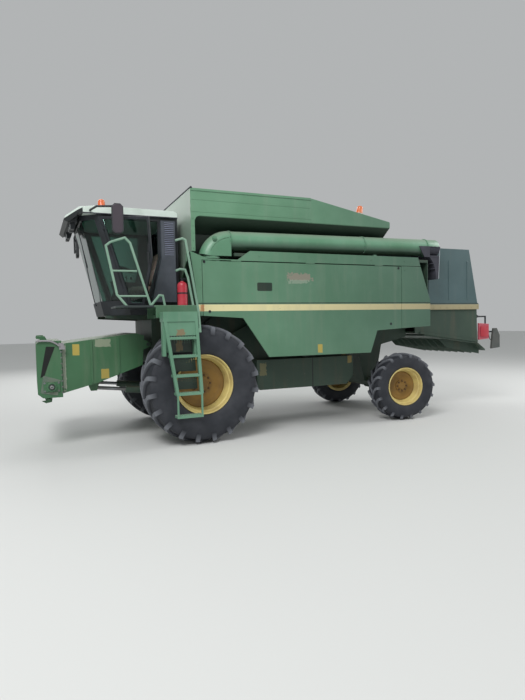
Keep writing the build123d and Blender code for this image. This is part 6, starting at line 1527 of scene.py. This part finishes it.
# Tail: the boxes on the marker arm, red enamel on the front one and grey-green on the rear
# one, with a red lens on the front one's face and a bent wire hook below them.
BOARD_SPLIT = AXLE_X - 6.30
board_paint = new_material("red enamel and grey-green enamel on the marker boxes")
board_place = add(board_paint, "TexCoord").outputs["Object"]
board_wear = add(board_paint, "TexNoise", {"Vector": board_place, "Scale": 9.0, "Detail": 6.0})
board_ahead = add(board_paint, "SeparateXYZ", {"Vector": board_place}).outputs["X"]
board_front = add(board_paint, "Math", {0: board_ahead, 1: BOARD_SPLIT}, operation="GREATER_THAN")
board_tone = add(
    board_paint,
    "Mix",
    {"Factor": board_front, 6: linear("#3C4A47"), 7: linear("#C24A5C")},
    data_type="RGBA",
)
board_worn = add(
    board_paint, "Mix", {"Factor": board_wear, 6: board_tone, 7: linear("#8D7A78")}, data_type="RGBA"
)
board_mild = add(board_paint, "Mix", {"Factor": 0.35, 6: board_tone, 7: board_worn}, data_type="RGBA")
board_shader = add(board_paint, "BsdfPrincipled", {"Base Color": board_mild, "Roughness": 0.45})
add(board_paint, "OutputMaterial", {"Surface": board_shader})
paint_nodes(board_paint, "marker_boards")
LENS_PROUD = 0.0005
LENS_THICK = 0.004
boxes_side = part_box("marker_boards")[1][1]
lens_outline = block_outline(-6.245, -6.030, 1.430, 1.650, 0.02)
lens_plate = plate("tail_lens", lens_outline, "Y", boxes_side + LENS_PROUD - LENS_THICK, LENS_THICK)
softened(lens_plate, 0.0015)
fitted(lens_plate, "chassis", red_paint)
HOOK_Y = 0.880
HOOK_LINE = ((-6.300, 1.530), (-6.320, 1.400), (-6.400, 1.330), (-6.500, 1.345))
hook = pipe("tail_hook", [at(x, HOOK_Y, z) for x, z in HOOK_LINE], 0.007, curved=True)
smooth(hook)
fitted(hook, "chassis", black_steel)

# Straw hood: nine bolts along the flange on each side and one more at its rear, all in the
# hood's green, which is darkened as painted shade.
HOOD_FLANGE_Y = 1.000
HOOD_BOLT_PLACES = [(-4.45 - 0.16 * count, 2.025) for count in range(9)] + [(-5.900, 2.055)]
hood_bolts = []
for hand in (1, -1):
    places = [at(x, hand * HOOD_FLANGE_Y, z) for x, z in HOOD_BOLT_PLACES]
    hood_bolts.append(bolt_heads("hood_bolts", places, (0, hand, 0), 0.008))
straw_bolts = joined("straw_hood_bolts", hood_bolts)
fitted(straw_bolts, "chassis", shaded_hood_green)

# Tyres: high-bar drive tyres on the front and steering tyres on the rear, moulded in black
# rubber that has gone grey, with dust between the bars and on the side walls.
tyre_rubber = new_material("tyre rubber greyed with dust")
tyre_place = add(tyre_rubber, "TexCoord").outputs["Object"]
tyre_noise = add(tyre_rubber, "TexNoise", {"Vector": tyre_place, "Scale": 5.0, "Detail": 8.0})
tyre_dust = add(
    tyre_rubber, "MapRange", {"Value": tyre_noise, "From Min": 0.4, "From Max": 0.8, "To Max": 0.7}
)
tyre_tone = add(
    tyre_rubber,
    "Mix",
    {"Factor": tyre_dust, 6: linear("#262930"), 7: linear("#3F4147")},
    data_type="RGBA",
)
# Painted highlight: the tops of the bars are paler, standing for the light along their edges.
bar_tops = add(tyre_rubber, "Attribute", attribute_name="bar_top", attribute_type="GEOMETRY")
bar_top_highlight = add(tyre_rubber, "Math", {0: bar_tops.outputs["Fac"], 1: 0.85}, operation="MULTIPLY")
tyre_surface = add(
    tyre_rubber, "Mix", {"Factor": bar_top_highlight, 6: tyre_tone, 7: linear("#75787F")}, data_type="RGBA"
)
tyre_grain = add(tyre_rubber, "TexNoise", {"Vector": tyre_place, "Scale": 70.0, "Detail": 3.0})
tyre_relief = add(tyre_rubber, "Bump", {"Height": tyre_grain, "Strength": 0.25, "Distance": 0.003})
tyre_shader = add(
    tyre_rubber, "BsdfPrincipled", {"Base Color": tyre_surface, "Roughness": 0.7, "Normal": tyre_relief}
)
add(tyre_rubber, "OutputMaterial", {"Surface": tyre_shader})

# Half a bar's foot and half its top as shares of its width, what both gain towards the edge,
# and the share of the way from the middle to the edge at which the shoulder starts.
BAR_FOOT = 0.5
BAR_TOP = 0.36
BAR_SPREAD = 0.25
SHOULDER = 0.8
BAR_STATIONS = 9
BAR_ROWS = 4
FIRST_BAR = pi / 2


def tyre_model(name, radius, width, rim_radius, bar_height, bars, sweep, bar_width):
    """A tyre with its axis on Y, its outer side towards +Y, rolling towards +X."""
    half = width / 2
    crown = radius - bar_height
    wall = crown - rim_radius
    # Half of the outline from the bead to the crown: share of the half width, share of the wall.
    section = (
        (0.78, 0.00),
        (0.84, 0.03),
        (0.90, 0.10),
        (0.95, 0.20),
        (0.985, 0.32),
        (1.00, 0.46),
        (0.99, 0.60),
        (0.97, 0.72),
        (0.95, 0.80),
        (0.93, 0.87),
        (0.87, 0.93),
        (0.72, 0.965),
        (0.40, 0.99),
        (0.0, 1.0),
    )
    outer = [(share * half, rim_radius + height * wall) for share, height in section]
    inner = [(-y, r) for y, r in reversed(outer[:-1])]
    carcass = turned(name, outer + inner)
    # One bar: across it, a foot, the two edges of its top and a foot again.
    bpy.ops.object.select_all(action="DESELECT")
    bpy.ops.mesh.primitive_grid_add(x_subdivisions=BAR_STATIONS, y_subdivisions=BAR_ROWS - 1)
    bar = bpy.context.object
    top_shares = []
    for index, vertex in enumerate(bar.data.vertices):
        row, column = index // (BAR_STATIONS + 1), index % (BAR_STATIONS + 1)
        along = min(max((column - 1) / (BAR_STATIONS - 2), 0), 1)
        on_top = row in (1, BAR_ROWS - 2) and 0 < column < BAR_STATIONS
        y = -0.02 * width + along * (0.95 * half + 0.02 * width)
        tip_drop = 0.7 * bar_height * along**3
        foot_r = crown - 0.012 - 0.06 * wall * along**4
        if along > SHOULDER:
            foot_r = crown - 0.02 - 0.147 * wall * (along - SHOULDER) / (1 - SHOULDER)
        if column == BAR_STATIONS:
            y = 0.992 * half
            foot_r = crown - 0.27 * wall
        r = radius - tip_drop if on_top else foot_r
        far_side = 1 if row >= BAR_ROWS / 2 else -1
        half_width = bar_width * (BAR_TOP if on_top else BAR_FOOT) * (1 + BAR_SPREAD * along)
        lead = sweep * (0.5 - sin(along * pi / 2) ** 0.9)
        angle = (lead + far_side * half_width) / radius
        vertex.co = (r * cos(angle), y, -r * sin(angle))
        top_shares.append(1.0 if on_top else 0.0)
    bar.data.attributes.new("bar_top", "FLOAT", "POINT").data.foreach_set("value", top_shares)
    bpy.ops.object.mode_set(mode="EDIT")
    bpy.ops.mesh.select_all(action="DESELECT")
    bpy.ops.mesh.select_mode(type="EDGE")
    bpy.ops.mesh.select_non_manifold()
    bpy.ops.mesh.fill()
    bpy.ops.mesh.select_all(action="SELECT")
    bpy.ops.mesh.normals_make_consistent(inside=False)
    bpy.ops.object.mode_set(mode="OBJECT")
    softened(bar, 0.006)
    pieces = [carcass]
    for hand in (1, -1):
        for count in range(bars):
            copy = bar.copy()
            copy.data = bar.data.copy()
            bpy.context.scene.collection.objects.link(copy)
            angle = FIRST_BAR + (count + (0.5 if hand < 0 else 0)) * 2 * pi / bars
            copy.data.transform(Matrix.Rotation(angle, 4, "Y") @ Matrix.Diagonal((1, hand, 1, 1)))
            if hand < 0:
                copy.data.flip_normals()
            pieces.append(copy)
    bpy.data.objects.remove(bar)
    return joined(name, pieces)


BEAD_SHARE = 0.80
DISC_THICK = 0.016


def barrel_model(name, rim_radius, width, dish):
    """The rolled barrel of a wheel, its axis on Y: flanges, bead seats and the dished inside."""
    bead = BEAD_SHARE * width / 2
    face = bead - dish
    outline = (
        (bead + 0.014, rim_radius + 0.005),
        (bead + 0.020, rim_radius - 0.003),
        (bead + 0.015, rim_radius - 0.014),
        (bead - 0.004, rim_radius - 0.021),
        (bead - 0.040, rim_radius - 0.030),
        (bead - 0.052, rim_radius - 0.046),
        (bead - 0.100, rim_radius - 0.058),
        (face + 0.014, rim_radius - 0.074),
        (face - 0.020, rim_radius - 0.078),
        (-bead, rim_radius - 0.050),
        (-bead - 0.014, rim_radius - 0.020),
        (-bead - 0.016, rim_radius + 0.004),
        (-bead - 0.004, rim_radius + 0.004),
        (-bead, rim_radius - 0.004),
        (bead, rim_radius - 0.004),
        (bead + 0.004, rim_radius + 0.004),
    )
    return turned(name, outline)


def disc_model(name, rim_radius, width, dish, hub_radius, bolts, bolt_circle):
    """The pressed disc inside a barrel, its axis on Y, with its hub ring and nuts."""
    face = BEAD_SHARE * width / 2 - dish
    edge = rim_radius - 0.076
    step = (edge + hub_radius) / 2
    disc = turned(
        "disc",
        (
            (face - 0.004, edge),
            (face + 0.008, edge - 0.012),
            (face + 0.004, step + 0.030),
            (face - 0.003, step + 0.012),
            (face - 0.003, step - 0.012),
            (face + 0.006, hub_radius + 0.020),
            (face + 0.006, 0.001),
            (face - DISC_THICK, 0.001),
            (face - DISC_THICK - 0.014, step),
            (face - DISC_THICK, edge),
        ),
    )
    hub = turned(
        "hub",
        (
            (face, hub_radius),
            (face + 0.022, hub_radius - 0.004),
            (face + 0.026, hub_radius - 0.05),
            (face + 0.040, hub_radius - 0.06),
            (face + 0.044, 0.001),
            (face, 0.001),
        ),
    )
    pieces = [disc]
    for count in range(bolts):
        angle = 2 * pi * count / bolts
        bpy.ops.object.select_all(action="DESELECT")
        bpy.ops.mesh.primitive_cylinder_add(vertices=6, radius=0.017, depth=0.04)
        nut = bpy.context.object
        nut.data.transform(
            Matrix.Translation((bolt_circle * cos(angle), face + 0.018, bolt_circle * sin(angle)))
            @ Matrix.Rotation(pi / 2, 4, "X")
        )
        softened(nut, 0.003, segments=1)
        pieces.append(nut)
    pieces.append(hub)
    for piece in pieces:
        rust = {disc: 0.0, hub: 0.25}.get(piece, 1.0)
        shares = [rust] * len(piece.data.vertices)
        piece.data.attributes.new("rust", "FLOAT", "POINT").data.foreach_set("value", shares)
    return joined(name, pieces)


def moved_wheel(model, name, joint, hand):
    """A copy of a wheel set on its joint, mirrored for the right side."""
    copy = model.copy()
    copy.data = model.data.copy()
    copy.name = name
    bpy.context.scene.collection.objects.link(copy)
    axis = Vector(joint["axis"]) * (1 if joint["axis"][1] > 0 else -1)
    steer = Vector((0, 1, 0)).rotation_difference(axis).to_matrix().to_4x4()
    place = Matrix.Translation(joint["pos_m"]) @ steer @ Matrix.Diagonal((1, hand, 1, 1))
    copy.data.transform(place)
    if hand < 0:
        copy.data.flip_normals()
    return copy


def wheel_enamel(name, colour, darkening, rust):
    """Yellow enamel under field dust, rusty where the "rust" attribute is one."""
    paint = new_material(name)
    place = add(paint, "TexCoord").outputs["Object"]
    noise = add(paint, "TexNoise", {"Vector": place, "Scale": 5.0, "Detail": 8.0})
    dusty = add(paint, "MapRange", {"Value": noise, "From Min": 0.42, "From Max": 0.72, "To Max": 0.8})
    tone = add(paint, "Mix", {"Factor": dusty, 6: linear(colour), 7: linear(darkening)}, data_type="RGBA")
    rusty = add(paint, "Attribute", attribute_name="rust", attribute_type="GEOMETRY")
    rust_amount = add(paint, "Math", {0: rusty.outputs["Fac"], 1: 0.85}, operation="MULTIPLY")
    surface = add(paint, "Mix", {"Factor": rust_amount, 6: tone, 7: linear(rust)}, data_type="RGBA")
    relief = add(paint, "Bump", {"Height": noise, "Strength": 0.15, "Distance": 0.004})
    shader = add(paint, "BsdfPrincipled", {"Base Color": surface, "Roughness": 0.55, "Normal": relief})
    add(paint, "OutputMaterial", {"Surface": shader})
    return paint


# Lit and shaded copies of one yellow: the barrels paler as painted light on the rim's outer cone, the
# discs browner as painted shade deep in the dish.
lit_barrel_enamel = wheel_enamel("yellow enamel on wheel barrels, paled by painted light", "#D9C67F", "#B39C66", "#4A2A1C")
shaded_disc_enamel = wheel_enamel("yellow enamel on discs, darkened as painted shade", "#8F6D30", "#735729", "#3F2618")

# Sizes of each pair: tyre radius, width, rim radius, bar height, bars a side, sweep and
# width of a bar, depth of the dish, hub radius, number of nuts and the circle they lie on.
WHEEL_PAIRS = (
    ("front", 0.895, 0.62, 0.446, 0.046, 20, 0.30, 0.070, 0.190, 0.17, 10, 0.135),
    ("rear", 0.603, 0.40, 0.337, 0.032, 18, 0.20, 0.052, 0.150, 0.12, 8, 0.09),
)
for pair, radius, width, rim_r, bar_h, bars, sweep, bar_w, dish, hub_r, nuts, circle in WHEEL_PAIRS:
    tyre = tyre_model("tyre", radius, width, rim_r, bar_h, bars, sweep, bar_w)
    barrel = barrel_model("barrel", rim_r, width, dish)
    disc = disc_model("disc", rim_r, width, dish, hub_r, nuts, circle)
    for side_name, hand in (("left", 1), ("right", -1)):
        body = f"{pair}_wheel_{side_name}"
        joint = joints[f"{body}_spin"]
        for model, kind, slot, material in (
            (tyre, "tyre", "tyre", tyre_rubber),
            (barrel, "rim", "yellow_paint", lit_barrel_enamel),
            (disc, "disc", "yellow_paint", shaded_disc_enamel),
        ):
            piece = moved_wheel(model, f"{kind}_dressed_{pair}_{side_name}", joint, hand)
            smooth(piece)
            fitted(piece, body, material)
            if kind != "disc":
                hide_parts(f"{kind}_{pair}_{side_name}")
    for model in (tyre, barrel, disc):
        bpy.data.objects.remove(model)
